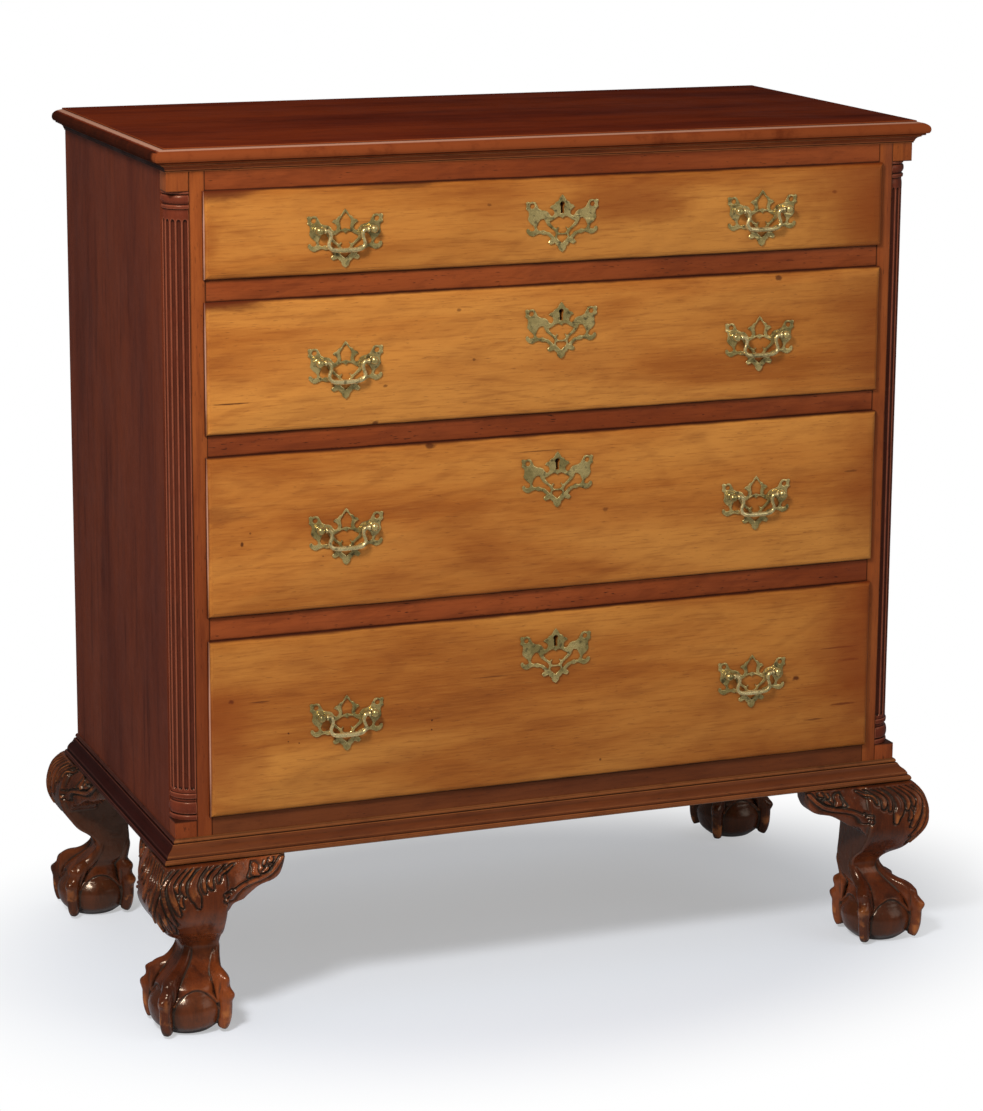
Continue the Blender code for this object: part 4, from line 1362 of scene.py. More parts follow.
@dataclass
class Case:
    """The case: sides, rails, dividers with their dustboards, bottom, back and mouldings.

    Attributes:
        inside_half: Half the width between the case's sides.
        opening_half: Half the width between the stiles.
        rail_depth: How deep the front rails are.
        dustboard: The thickness of the boards that the drawers run on.
        front_share: How much of their depth the front one of their two boards takes.
        guide_height: How high the guides stand on them.
        guide_start: Where the guides start.
        back_shifts: How far the back's joints lie from even spacing.
        nail: Radius and reach of a nail's head.
        top_moulding: The profile of the moulding under the top.
        base_moulding: The profile of the moulding over the legs.
    """

    inside_half: float = 0.4517
    opening_half: float = 0.425
    rail_depth: float = 0.022
    dustboard: float = 0.010
    front_share: float = 0.46
    guide_height: float = 0.015
    guide_start: float = -0.1995
    back_shifts: Sequence[float] = (0.012, -0.018, 0.009)
    nail: Sequence[Flat] = ((0.0028, -0.0010), (0.0030, 0.0003), (0.0021, 0.0008), (0.0002, 0.0009))
    top_moulding: Outline = (
        (0.0003, 0.0, CORNER), (0.0012, 0.0, CORNER), (0.0013, 0.0017, CORNER),
        (0.0020, 0.0022, FLOW), (0.0030, 0.0046, FLOW), (0.0052, 0.0068, FLOW),
        (0.0079, 0.0078, CORNER), (0.0082, 0.0088, CORNER), (0.0090, 0.0090, CORNER),
        (0.0090, 0.0095, CORNER), (0.0003, 0.0095, CORNER),
    )
    base_moulding: Outline = (
        (0.0003, 0.0, CORNER), (0.0160, 0.0, CORNER), (0.0178, 0.0014, FLOW),
        (0.0180, 0.0040, FLOW), (0.0168, 0.0062, CORNER), (0.0145, 0.0068, CORNER),
        (0.0143, 0.0080, CORNER), (0.0138, 0.0102, FLOW), (0.0112, 0.0136, FLOW),
        (0.0074, 0.0166, FLOW), (0.0054, 0.0196, FLOW), (0.0048, 0.0207, CORNER),
        (0.0024, 0.0211, CORNER), (0.0023, 0.0219, CORNER), (0.0030, 0.0226, FLOW),
        (0.0030, 0.0244, FLOW), (0.0018, 0.0260, FLOW), (0.0003, 0.0265, CORNER),
    )

    def build(self, chest: Chest) -> None:
        """Makes the case.

        Args:
            chest: The chest.
        """
        for number, side in enumerate(Side):
            node = f"case_side_{side.word}"
            chest.dress(node, SIDE_WOOD.board(node, Axis.Z, *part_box(node), 20 + number, edges="z"))
            Corner(side).build(chest)
        # The rails' darkened edges start where the drawers' lips end, which paints the shadow of the lips, with dust.
        hidden = Vector((0, 0, LIP_OVERLAP))
        for number, (node, wood) in enumerate((("top_rail", CHERRY), ("bottom_rail", SHADED_LOW_CHERRY))):
            low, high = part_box(node)
            ends = (low, high - hidden) if number else (low + hidden, high)
            chest.dress(node, wood.board(node, Axis.X, *ends, 30 + number, edges="z"))
        for number in (1, 2, 3):
            self._divider(chest, number)
        low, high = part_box("case_bottom")
        self._dustboard(chest, "bottom", low[1], high[1], high[2] - self.guide_height, 9, ("case_bottom",))
        self._back(chest)
        TopBoard().build(chest)
        Moulding("top_moulding", self.top_moulding, CHERRY).build(chest)
        Moulding("base_moulding", self.base_moulding, SHADED_LOW_CHERRY).build(chest)

    def _divider(self, chest: Chest, number: int) -> None:
        """Makes a front rail, and the dustboard and guides behind it.

        Args:
            chest: The chest.
            number: Which divider, from the top.
        """
        node = f"divider_{number}"
        low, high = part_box(node)
        bottom, top, half = low[2], high[2] - self.guide_height, self.opening_half
        front, back = low[1], low[1] + self.rail_depth
        # Its darkened edges start where the lips end, which paints the shadow of the lips, with dust.
        chest.board(f"rail_{number}", (-half, front, bottom), (half, back, top), CHERRY, Axis.X, 50 + number, "z",
                    nodes=(node,), seen=((-half, front, bottom + LIP_OVERLAP), (half, back, top - LIP_OVERLAP)))
        self._dustboard(chest, f"dustboard_{number}", back + FREE, high[1], top, number)

    def _dustboard(
        self, chest: Chest, name: str, front: float, back: float, top: float, seed: int, nodes: Sequence[str] = ()
    ) -> None:
        """Makes the board that a drawer runs on, in two glued boards, with its guides.

        Args:
            chest: The chest.
            name: The board's name.
            front: Where it starts.
            back: Where it ends.
            top: The height of its upper face.
            seed: Its number.
            nodes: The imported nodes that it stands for.
        """
        middle = front + (back - front) * self.front_share
        spans = ((front, middle - FREE, self.opening_half, nodes), (middle + FREE, back, self.inside_half, ()))
        for part, (start, end, half, names) in enumerate(spans):
            chest.board(f"{name}_{part}", (-half, start, top - self.dustboard), (half, end, top), POPLAR, Axis.X,
                        80 + 7 * seed + part, "y", 0.0004, names)
        for side in Side:
            left, right = side.span(self.opening_half + FREE, self.inside_half)
            chest.board(f"{name}_guide_{side.word}", (left, self.guide_start, top + FREE),
                        (right, back, top + self.guide_height), POPLAR, Axis.Y, 120 + 7 * seed + side.value,
                        "x", 0.0008)

    def _back(self, chest: Chest) -> None:
        """Makes the back, of rough boards nailed on one over the other.

        Args:
            chest: The chest.
        """
        low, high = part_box("case_back")
        back = high[1] - 0.0012
        heights = np.linspace(low[2], high[2], len(self.back_shifts) + 2)
        heights[1:-1] += self.back_shifts
        bm = bmesh.new()
        for number, (foot, head) in enumerate(zip(heights + 0.0005, heights[1:] - 0.0005)):
            chest.board(f"back_board_{number + 1}", (low[0], low[1], foot), (high[0], back, head), POPLAR, Axis.X,
                        160 + number, ease=0.0012, nodes=() if number else ("case_back",))
            for x in (low[0] + 0.009, high[0] - 0.009):
                for share in (0.16, 0.5, 0.84):
                    add_turned(bm, self.nail, 10, (x, back, foot + (head - foot) * share))
        chest.join("back_nails", mesh_of("back_nails", bm), IRON.material(), "case")


def dovetails(low: float, high: float, count: int, share: float = 0.66) -> list[Flat]:
    """Where the tails of a joint lie.

    Args:
        low: The lower end of the joint.
        high: Its upper end.
        count: How many tails it has.
        share: How much of the height the tails take.

    Returns:
        The lower and upper end of each tail, where it is widest.
    """
    pitch = (high - low) / count
    return [(low + pitch * (n + 0.5 - share / 2), low + pitch * (n + 0.5 + share / 2)) for n in range(count)]


@dataclass
class Drawer:
    """One drawer: its lipped front, dovetailed box, lock and brasses.

    Attributes:
        number: Which drawer, from the top.
        tails: How many dovetails each joint has.
        keyhole_x: Where its keyhole is.
        marks: Worm holes, knots, cracks, stains, soft blotches and painted shade in its front.
        tint: How pale its front is.
        lip: Inset from the front's edge and reach from the case, from the case forward.
        core_inset: How far the part inside the case stands in from the lip.
        tail_end: Where the tails of the sides end, behind the front.
        flare: How much wider a tail is at its end, on either side.
        keyhole_rise: How high the keyhole is over the escutcheon's origin.
        crown: How high the escutcheon stands over its origin.
        drop: How far its top lies under the front's moulded edge.
        lock_y: Where the lock starts and ends.
    """

    number: int
    tails: int
    keyhole_x: float
    marks: Sequence[Mark] = ()
    tint: float = 1.0
    lip: Outline = (
        (0.0000, 0.0003, CORNER), (0.0000, 0.0018, FLOW), (0.0005, 0.0033, FLOW),
        (0.0020, 0.0055, FLOW), (0.0042, 0.0071, FLOW), (0.0054, 0.0074, CORNER), (0.0056, 0.0078, FLOW),
        (0.0061, 0.0080, CORNER),
    )
    core_inset: float = 0.005
    tail_end: float = -0.2250
    flare: float = 0.0016
    keyhole_rise: float = 0.0085
    crown: float = 0.35 * 0.0682
    drop: float = 0.0165
    lock_y: Flat = (-0.2126, -0.2092)

    @property
    def body(self) -> str:
        """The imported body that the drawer's pieces move with."""
        return f"drawer_{self.number}"

    @property
    def plate_z(self) -> float:
        """The height of the escutcheon's origin."""
        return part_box(f"{self.body}_front")[1][2] - 0.004 - self.drop - self.crown

    @property
    def keyhole(self) -> Flat:
        """Where the keyhole's middle is, in X and Z."""
        return self.keyhole_x, self.plate_z + self.keyhole_rise

    def build(self, chest: Chest) -> None:
        """Makes the drawer.

        Args:
            chest: The chest.
        """
        self._front(chest)
        self._core(chest)
        self._box(chest)
        self._lock(chest)

    def _key_cutter(self, low_y: float, high_y: float) -> Mesh:
        """The closed mesh that cuts the keyhole.

        Args:
            low_y: Where it starts.
            high_y: Where it ends.

        Returns:
            The mesh.
        """
        bm = bmesh.new()
        x, z = self.keyhole
        add_prism(bm, [(x + across, z + up) for across, up in keyhole_outline(FREE)], Axis.Y, low_y, high_y)
        return mesh_of("keyhole", bm)

    def _front(self, chest: Chest) -> None:
        """Makes the lipped front.

        Args:
            chest: The chest.
        """
        node = f"{self.body}_front"
        low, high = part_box(node)
        rows = []
        for inset, proud in flowing(self.lip, 5):
            left, right, bottom, top = low[0] + inset, high[0] - inset, low[2] + inset, high[2] - inset
            middle_x, middle_z = (left + right) / 2, (bottom + top) / 2
            corners = rectangle(left, bottom, right, top)
            row = []
            for start, end, count in zip(corners, corners[1:] + corners[:1], (90, 24, 90, 24)):
                for x, z in between(start, end, np.linspace(0, 1, count, endpoint=False)):
                    wavy = noise.noise(Vector((x * 17, z * 17, self.number)))
                    worn = max(0.0, wavy) * 0.0004 if 0 < proud < 0.0079 else 0.0
                    row.append((x - worn * (1 if x > middle_x else -1), CASE_FRONT - proud + worn * 0.5,
                                z - worn * (1 if z > middle_z else -1)))
            rows.append(row)
        mesh = cut_away(solid_mesh(node, rows, 24.0), self._key_cutter(-0.25, -0.22))
        tall = high[2] - low[2]
        # A painted highlight: a thin pale line down the rounded lip at the front's left end.
        shine = Mark(low[0] + 0.0010, low[2] + tall * 0.55, tall * 0.6, 0.9, 0.0011 / tall, PAINTED_HIGHLIGHT)
        material = MAPLE.tinted(self.tint).board(node, Axis.X, low, high, 200 + self.number, marks=(*self.marks, shine))
        chest.join(f"{self.body}_face", mesh, material, self.body, (node,))

    def _core(self, chest: Chest) -> None:
        """Makes the part of the front inside the case, with the pins of its dovetails.

        Args:
            chest: The chest.
        """
        low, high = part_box(f"{self.body}_front")
        side_low, side_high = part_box(f"{self.body}_side_right")
        bottom, top, half = low[2] + self.core_inset, high[2] - self.core_inset, side_low[0] - FREE
        bm = bmesh.new()
        add_prism(bm, rectangle(-half, bottom, half, top), Axis.Y, CASE_FRONT - FREE, high[1])
        ease_arrises(bm, 0.0005)
        self._add_pins(bm, (half, side_high[0]), (side_low[2], side_high[2]), (high[1] + FREE, self.tail_end),
                       (bottom, top))
        mesh = cut_away(mesh_of(f"{self.body}_core", bm), self._key_cutter(-0.24, -0.20))
        # Painted shade: near black round the keyhole on the part behind the front, so that the keyhole looks dark
        # inside.
        hollow = Mark(*self.keyhole, 0.0110, 1.0, 0.55, (0.008, 0.005, 0.004))
        material = MAPLE.board(mesh.name, Axis.X, low, high, 210 + self.number, edges="", marks=(hollow,))
        chest.join(mesh.name, mesh, material, self.body)

    def _add_pins(self, bm: BMesh, across: Flat, joint: Flat, along: Flat, board: Flat) -> None:
        """Adds the pins between the tails, at both ends of a board.

        Args:
            bm: The bmesh to add to.
            across: How far from the chest's middle they start and end.
            joint: The lower and upper end of the tails' board.
            along: Where the tails start and end, along Y.
            board: The lower and upper end of the pins' board.
        """
        (root, tip), (bottom, top), gap = along, board, 0.0001
        tails = dovetails(*joint, self.tails)
        under = [(bottom, bottom)] + [(end - self.flare + gap, end + gap) for _, end in tails]
        over = [(start + self.flare - gap, start - gap) for start, _ in tails] + [(top, top)]
        for side in Side:
            for (low_root, low_tip), (high_root, high_tip) in zip(under, over):
                outline = [(root, low_root), (tip, low_tip), (tip, high_tip), (root, high_root)]
                add_prism(bm, outline, Axis.X, *side.span(*across))

    def _tails(self, low: float, high: float, root: float, tip: float) -> list[Flat]:
        """The outline of the tails at one end of a side, from the lowest one up.

        Args:
            low: The lower end of the joint.
            high: Its upper end.
            root: Where the tails start, along Y.
            tip: Where they end.

        Returns:
            Its points in Y and Z.
        """
        outline = []
        for start, end in dovetails(low, high, self.tails):
            outline += [(root, start + self.flare), (tip, start), (tip, end), (root, end - self.flare)]
        return outline

    def _box(self, chest: Chest) -> None:
        """Makes the sides and the back, and dresses the bottom.

        Args:
            chest: The chest.
        """
        back_low, back_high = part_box(f"{self.body}_back")
        start, end, foot, head = back_low[1], back_high[1], back_low[2], back_high[2]
        for side in Side:
            node = f"{self.body}_side_{side.word}"
            low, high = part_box(node)
            bm = bmesh.new()
            add_prism(bm, [
                (low[1], low[2]), *self._tails(low[2], high[2], low[1], self.tail_end), (low[1], high[2]),
                (start, high[2]), *self._tails(foot, head, start, end)[::-1], (start, foot), (end, foot), (end, low[2]),
            ], Axis.X, low[0], high[0])
            ease_arrises(bm, 0.0003, 1)
            material = POPLAR.board(node, Axis.Y, low, high, 220 + 2 * self.number + side.value, edges="yz")
            chest.join(f"{node}_board", mesh_of(f"{node}_board", bm), material, self.body, (node,))
        bm = bmesh.new()
        add_prism(bm, rectangle(back_low[0], foot, back_high[0], head), Axis.Y, start, end)
        ease_arrises(bm, 0.0005)
        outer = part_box(f"{self.body}_side_right")[1][0]
        self._add_pins(bm, (back_high[0], outer), (foot, head), (start, end), (foot + 0.0001, head))
        name = f"{self.body}_back_board"
        material = POPLAR.board(name, Axis.X, back_low, back_high, 240 + self.number)
        chest.join(name, mesh_of(name, bm), material, self.body, (f"{self.body}_back",))
        node = f"{self.body}_bottom"
        chest.dress(node, POPLAR.board(node, Axis.X, *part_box(node), 250 + self.number, edges="xy"), 0.0004)

    def _lock(self, chest: Chest) -> None:
        """Makes the lock behind the keyhole.

        Args:
            chest: The chest.
        """
        (x, z), (front, back) = self.keyhole, self.lock_y
        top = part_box(f"{self.body}_front")[1][2] - self.core_inset
        bm = bmesh.new()
        add_prism(bm, rectangle(x - 0.030, z - 0.023, x + 0.030, z + 0.014), Axis.Y, front, back)
        add_prism(bm, rectangle(x - 0.036, z + 0.0141, x + 0.036, top), Axis.Y, front - 0.0004, back - 0.0016)
        ease_arrises(bm, 0.0005)
        add_turned(bm, ((0.0019, -0.0080), (0.0019, -0.0012), (0.0014, -0.0006)), 12, (x, front, z + 0.0035))
        for across in (-0.024, 0.024):
            for up in (-0.018, 0.009):
                head = ((0.0024, -0.0004), (0.0024, 0.0003), (0.0016, 0.0007))
                add_turned(bm, head, 12, (x + across, back, z + up))
        chest.join(f"{self.body}_lock", mesh_of(f"{self.body}_lock", bm), IRON.material(), self.body)


def keyhole_outline(grow: float = 0.0) -> list[Flat]:
    """A round eye over a tapering slot, about the middle of its height.

    Args:
        grow: How much larger it is made all round.

    Returns:
        Its outline in X and Z.
    """
    radius, half, slot = (size + grow for size in (0.0031, 0.0068, 0.0021))
    angles = np.linspace(-pi / 4, 5 * pi / 4, 17)
    return [(radius * cos(a), half - radius + radius * sin(a)) for a in angles] + [(-slot, -half), (slot, -half)]


@dataclass
class Brasses:
    """The pierced plates, posts and bails of all the drawers.

    Attributes:
        half_width: Half the width of a plate.
        height: What the shares of its height count in.
        thickness: Its thickness.
        edge: The width of its bevel.
        dent: How deep its dents are, and how far it bows out.
        dents: How closely the dents lie.
        bow_half: Half the width of the bow.
        post_spacing: How far apart the posts of a pull are.
        face_y: Where the drawers' faces are.
        post_reach: How far before them the bails hang.
        outline: Half of a plate, from its crown to its pendant, in shares of half its width and of its height.
        wing: The opening in each wing.
        heart: Half of the opening under the middle.
        pendant: Half of the lowest opening.
        arch: Half of the opening in the crown.
        ear: Middle and radius of the small round opening at each top corner.
        bail: Across, down and thickness of the bail, from its pin to its middle, in metres.
    """

    half_width: float = 0.0458
    height: float = 0.0682
    thickness: float = 0.0016
    edge: float = 0.00075
    dent: float = 0.0004
    dents: float = 260.0
    bow_half: float = 0.03
    post_spacing: float = 0.066
    face_y: float = -0.234
    post_reach: float = 0.008
    outline: Outline = (
        (0.000, 0.350, CORNER), (0.060, 0.305, FLOW), (0.110, 0.245, FLOW), (0.180, 0.222, FLOW),
        (0.235, 0.180, FLOW), (0.300, 0.165, FLOW), (0.351, 0.129, CORNER), (0.270, 0.098, FLOW),
        (0.222, 0.050, FLOW), (0.240, 0.000, FLOW), (0.300, -0.016, FLOW), (0.348, 0.006, CORNER),
        (0.400, 0.056, FLOW), (0.474, 0.081, FLOW), (0.560, 0.090, FLOW), (0.650, 0.120, CORNER),
        (0.700, 0.185, FLOW), (0.745, 0.232, FLOW), (0.820, 0.246, FLOW), (0.900, 0.236, CORNER),
        (0.950, 0.246, FLOW), (1.000, 0.225, FLOW), (0.985, 0.165, FLOW), (1.000, 0.114, CORNER),
        (0.930, 0.068, FLOW), (0.925, 0.000, FLOW), (0.940, -0.069, FLOW), (0.870, -0.135, FLOW),
        (0.790, -0.180, FLOW), (0.757, -0.236, FLOW), (0.800, -0.262, FLOW), (0.870, -0.262, CORNER),
        (0.920, -0.222, FLOW), (0.975, -0.232, FLOW), (0.972, -0.290, FLOW), (0.880, -0.345, FLOW),
        (0.790, -0.358, CORNER), (0.720, -0.335, FLOW), (0.620, -0.312, FLOW), (0.530, -0.335, FLOW),
        (0.440, -0.335, FLOW), (0.340, -0.385, FLOW), (0.300, -0.415, CORNER), (0.350, -0.438, FLOW),
        (0.388, -0.475, CORNER), (0.330, -0.512, FLOW), (0.270, -0.505, FLOW), (0.204, -0.487, CORNER),
        (0.160, -0.520, FLOW), (0.118, -0.545, FLOW), (0.085, -0.605, FLOW), (0.000, -0.650, CORNER),
    )
    wing: Outline = (
        (0.499, -0.061, CORNER), (0.585, -0.069, FLOW), (0.650, -0.120, FLOW), (0.700, -0.190, CORNER),
        (0.671, -0.244, FLOW), (0.600, -0.262, FLOW), (0.523, -0.251, CORNER), (0.430, -0.280, FLOW),
        (0.351, -0.297, FLOW), (0.270, -0.345, FLOW), (0.204, -0.388, CORNER), (0.179, -0.327, FLOW),
        (0.229, -0.266, CORNER), (0.330, -0.215, FLOW), (0.425, -0.160, FLOW),
    )
    heart: Outline = (
        (0.000, -0.068, CORNER), (0.040, -0.042, FLOW), (0.100, -0.030, FLOW), (0.180, -0.050, FLOW),
        (0.260, -0.084, FLOW), (0.345, -0.107, CORNER), (0.327, -0.145, FLOW), (0.260, -0.190, FLOW),
        (0.200, -0.225, FLOW), (0.150, -0.238, CORNER), (0.098, -0.208, CORNER), (0.118, -0.245, FLOW),
        (0.125, -0.280, FLOW), (0.080, -0.312, FLOW), (0.000, -0.317, CORNER),
    )
    pendant: Outline = (
        (0.000, -0.345, CORNER), (0.080, -0.343, FLOW), (0.140, -0.362, FLOW), (0.130, -0.410, FLOW),
        (0.060, -0.455, FLOW), (0.000, -0.490, CORNER),
    )
    arch: Outline = (
        (0.000, 0.290, CORNER), (0.050, 0.255, FLOW), (0.105, 0.205, FLOW), (0.150, 0.150, FLOW),
        (0.138, 0.090, FLOW), (0.126, 0.045, FLOW), (0.138, 0.000, CORNER), (0.070, 0.010, FLOW),
        (0.000, 0.024, CORNER),
    )
    ear: tuple[float, float, float] = (0.830, 0.167, 0.0030)
    bail: Sequence[tuple[float, float, float]] = (
        (0.0313, 0.0, 0.0015), (0.0287, 0.0, 0.0015), (0.0279, 0.0, 0.0019), (0.0272, 0.0, 0.0029),
        (0.0262, 0.0, 0.0033), (0.0252, 0.0, 0.0029), (0.0246, 0.0, 0.0021), (0.0236, 0.0001, 0.0021),
        (0.0216, 0.0006, 0.0024), (0.0199, 0.0026, 0.0024), (0.0192, 0.0056, 0.0022), (0.0197, 0.0090, 0.0021),
        (0.0212, 0.0128, 0.0021), (0.0218, 0.0162, 0.0022), (0.0206, 0.0194, 0.0023), (0.0180, 0.0216, 0.0025),
        (0.0144, 0.0226, 0.0026), (0.0090, 0.0231, 0.0027), (0.0040, 0.0232, 0.0028), (0.0000, 0.0232, 0.0028),
    )

    def build(self, chest: Chest, drawers: Sequence[Drawer]) -> None:
        """Makes the brasses of each drawer.

        Args:
            chest: The chest.
            drawers: The drawers.
        """
        metal, handled = BRASS.material(), WORN_BRASS.material()
        plate, posts, bail = self._plate(self._whole(self.arch)), self._posts(), self._bail()
        shield = self._plate([(x, z + drawers[0].keyhole_rise) for x, z in keyhole_outline()])
        joints = {joint["child"]: joint for joint in chest.frame["record"]["behaviour"]["joints"]}
        for drawer in drawers:
            body = drawer.body
            for side in Side:
                swing, node = f"{body}_bail_{side.word}", f"{body}_pull_plate_{side.word}"
                x, _, z = joints[swing]["pos_m"]
                place, pins = (x, self.face_y, z), (x, self.face_y - self.post_reach, z)
                self._set(chest, plate, f"{node}_cast", place, metal, body, (node,))
                self._set(chest, posts, f"{body}_posts_{side.word}", place, metal, body)
                self._set(chest, bail, f"{swing}_cast", pins, handled, swing, (swing,))
            node, place = f"{body}_escutcheon", (drawer.keyhole_x, self.face_y, drawer.plate_z)
            self._set(chest, shield, f"{node}_cast", place, metal, body, (node,))

    @staticmethod
    def _set(
        chest: Chest, pattern: Mesh, name: str, place: Point, metal: Material, body: str, nodes: Sequence[str] = ()
    ) -> None:
        """Adds one casting from a pattern.

        Args:
            chest: The chest.
            pattern: The mesh to copy.
            name: The piece's name.
            place: Where its origin goes.
            metal: Its material.
            body: The body it moves with.
            nodes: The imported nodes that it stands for.
        """
        mesh = pattern.copy()
        mesh.name = name
        mesh.transform(Matrix.Translation(place))
        chest.join(name, mesh, metal, body, nodes)

    def _scaled(self, points: Outline) -> list[tuple[float, float, Turn]]:
        """Turns shares into metres."""
        return [(a * self.half_width, b * self.height, turn) for a, b, turn in points]

    def _whole(self, half: Outline) -> list[Flat]:
        """A closed line from its right half.

        Args:
            half: The right half in shares, which starts and ends on the middle line.

        Returns:
            The closed line in metres.
        """
        right = self._scaled(half)
        return flowing(right + [(-x, z, turn) for x, z, turn in right[-2:0:-1]], 4, closed=True)

    def _plate(self, opening: Sequence[Flat]) -> Mesh:
        """A pierced plate with a bevelled edge.

        Args:
            opening: The opening in its crown, or its keyhole.

        Returns:
            Its mesh, about the point midway between its posts.
        """
        lines = [self._whole(half) for half in (self.outline, self.heart, self.pendant)]
        wing = flowing(self._scaled(self.wing), 4, closed=True)
        x, z, radius = self.ear[0] * self.half_width, self.ear[1] * self.height, self.ear[2]
        ear = [(x + radius * cos(a), z + radius * sin(a)) for a in np.linspace(0, 2 * pi, 24, endpoint=False)]
        for line in (wing, ear):
            lines += [line, [(-a, b) for a, b in line]]
        curve = bpy.data.curves.new("plate", "CURVE")
        curve.dimensions, curve.fill_mode = "2D", "BOTH"
        curve.extrude = self.thickness / 2 - self.edge
        curve.bevel_depth, curve.bevel_resolution, curve.offset = self.edge, 1, -self.edge
        for line in (*lines, opening):
            spline = curve.splines.new("POLY")
            spline.points.add(len(line) - 1)
            for point, (a, b) in zip(spline.points, line):
                point.co = (a, b, 0, 1)
            spline.use_cyclic_u = True
        mesh = finished(on_bench("plate", curve))
        mesh.transform(Matrix.Translation((0, -self.thickness / 2 - FREE, 0)) @ Matrix.Rotation(pi / 2, 4, "X"))
        for vert in mesh.vertices:
            if vert.co.y < -self.thickness / 2:
                bow = self.dent * max(0.0, 1 - (vert.co.x / self.bow_half) ** 2)
                vert.co.y -= self.dent * noise.noise(vert.co * self.dents) + bow
        return smooth_shading(mesh, 40.0)

    def _posts(self) -> Mesh:
        """The two posts, with their shanks and nuts behind the front.

        Returns:
            Their mesh, about the point midway between them.
        """
        front = flowing((
            (0.0002, 0.0127, FLOW), (0.0019, 0.0124, FLOW), (0.0037, 0.0112, FLOW), (0.0047, 0.0095, FLOW),
            (0.0048, 0.0078, FLOW), (0.0042, 0.0060, FLOW), (0.0028, 0.0049, CORNER), (0.0025, 0.0044, FLOW),
            (0.0026, 0.0037, CORNER), (0.0041, 0.0034, FLOW), (0.0049, 0.0028, FLOW), (0.0049, 0.0021, CORNER),
            (0.0046, 0.0018, CORNER), (0.0046, 0.0012, CORNER),
        ), 3)
        shank = [(0.0019 + 0.0002 * (n % 2), -0.0215 - 0.0002 * n) for n in range(19)]
        post = [*front, (0.0019, 0.0010), (0.0019, -0.0210), *shank, (0.0008, -0.0256)]
        nut = ((0.0036, -0.0223), (0.0055, -0.0226), (0.0055, -0.0245), (0.0048, -0.0250))
        bm = bmesh.new()
        for x in (-self.post_spacing / 2, self.post_spacing / 2):
            for profile, steps in ((post, 20), (nut, 6)):
                add_turned(bm, profile, steps, (x, 0.0, 0.0), -1)
        return mesh_of("posts", bm, 50.0)

    def _bail(self) -> Mesh:
        """A hanging bail.

        Returns:
            Its mesh, about the middle of its axis.
        """
        whole = [(x, -down, r) for x, down, r in self.bail]
        whole += [(-x, z, r) for x, z, r in whole[-2::-1]]
        path = flowing([(x, z, FLOW) for x, z, _ in whole], 4)
        thick = flowing([(float(n), r, FLOW) for n, (_, _, r) in enumerate(whole)], 4)
        rows = []
        for n, ((x, z), (_, radius)) in enumerate(zip(path, thick)):
            before, after = path[max(n - 1, 0)], path[min(n + 1, len(path) - 1)]
            way = Vector((after[0] - before[0], 0.0, after[1] - before[1])).normalized()
            across = Vector((way.z, 0.0, -way.x))
            rows.append([
                Vector((x, 0.0, z)) + across * radius * cos(angle) + Vector((0, radius * sin(angle), 0))
                for angle in np.linspace(0, 2 * pi, 14, endpoint=False)
            ])
        return solid_mesh("bail", rows, 50.0)


def smooth_table(rows: Sequence[Sequence[float]], steps: int) -> np.ndarray:
    """Fills in a table so that each of its columns runs smoothly from row to row.

    Args:
        rows: The rows.
        steps: How many rows come of each step between two of them.

    Returns:
        The fuller table.
    """
    table = np.array(rows, dtype=float)
    padded = np.vstack([2 * table[0] - table[1], table, 2 * table[-1] - table[-2]])
    full = []
    for n in range(len(table) - 1):
        before, here, there, after = padded[n:n + 4]
        for t in np.linspace(0.0, 1.0, steps, endpoint=False):
            full.append(0.5 * (2 * here + (there - before) * t + (2 * before - 5 * here + 4 * there - after) * t**2
                               + (3 * here - before - 3 * there + after) * t**3))
    full.append(table[-1])
    return np.array(full)


def clipped(values: np.ndarray) -> np.ndarray:
    """Values kept between 0 and 1."""
    return np.clip(values, 0.0, 1.0)


CLAWS = ((-1, -1), (1, -1), (-1, 1), (1, 1))


@dataclass(frozen=True)
class Cut:
    """One feature of the carving, on the leg's unrolled face.

    Attributes:
        line: Its middle line, as the distance from the leg's corner and the height, in millimetres.
        width: Its greatest width in millimetres.
        rise: How high it stands at its tip in millimetres. Below 0 it is a groove.
        tapers: Whether it narrows towards its ends.
        vein: Whether a fine groove runs down its middle.
        wear: How much its tip is painted pale, with worn polish and a painted highlight.
    """

    line: Sequence[Flat]
    width: float
    rise: float = 2.2
    tapers: bool = True
    vein: bool = False
    wear: float = 0.7


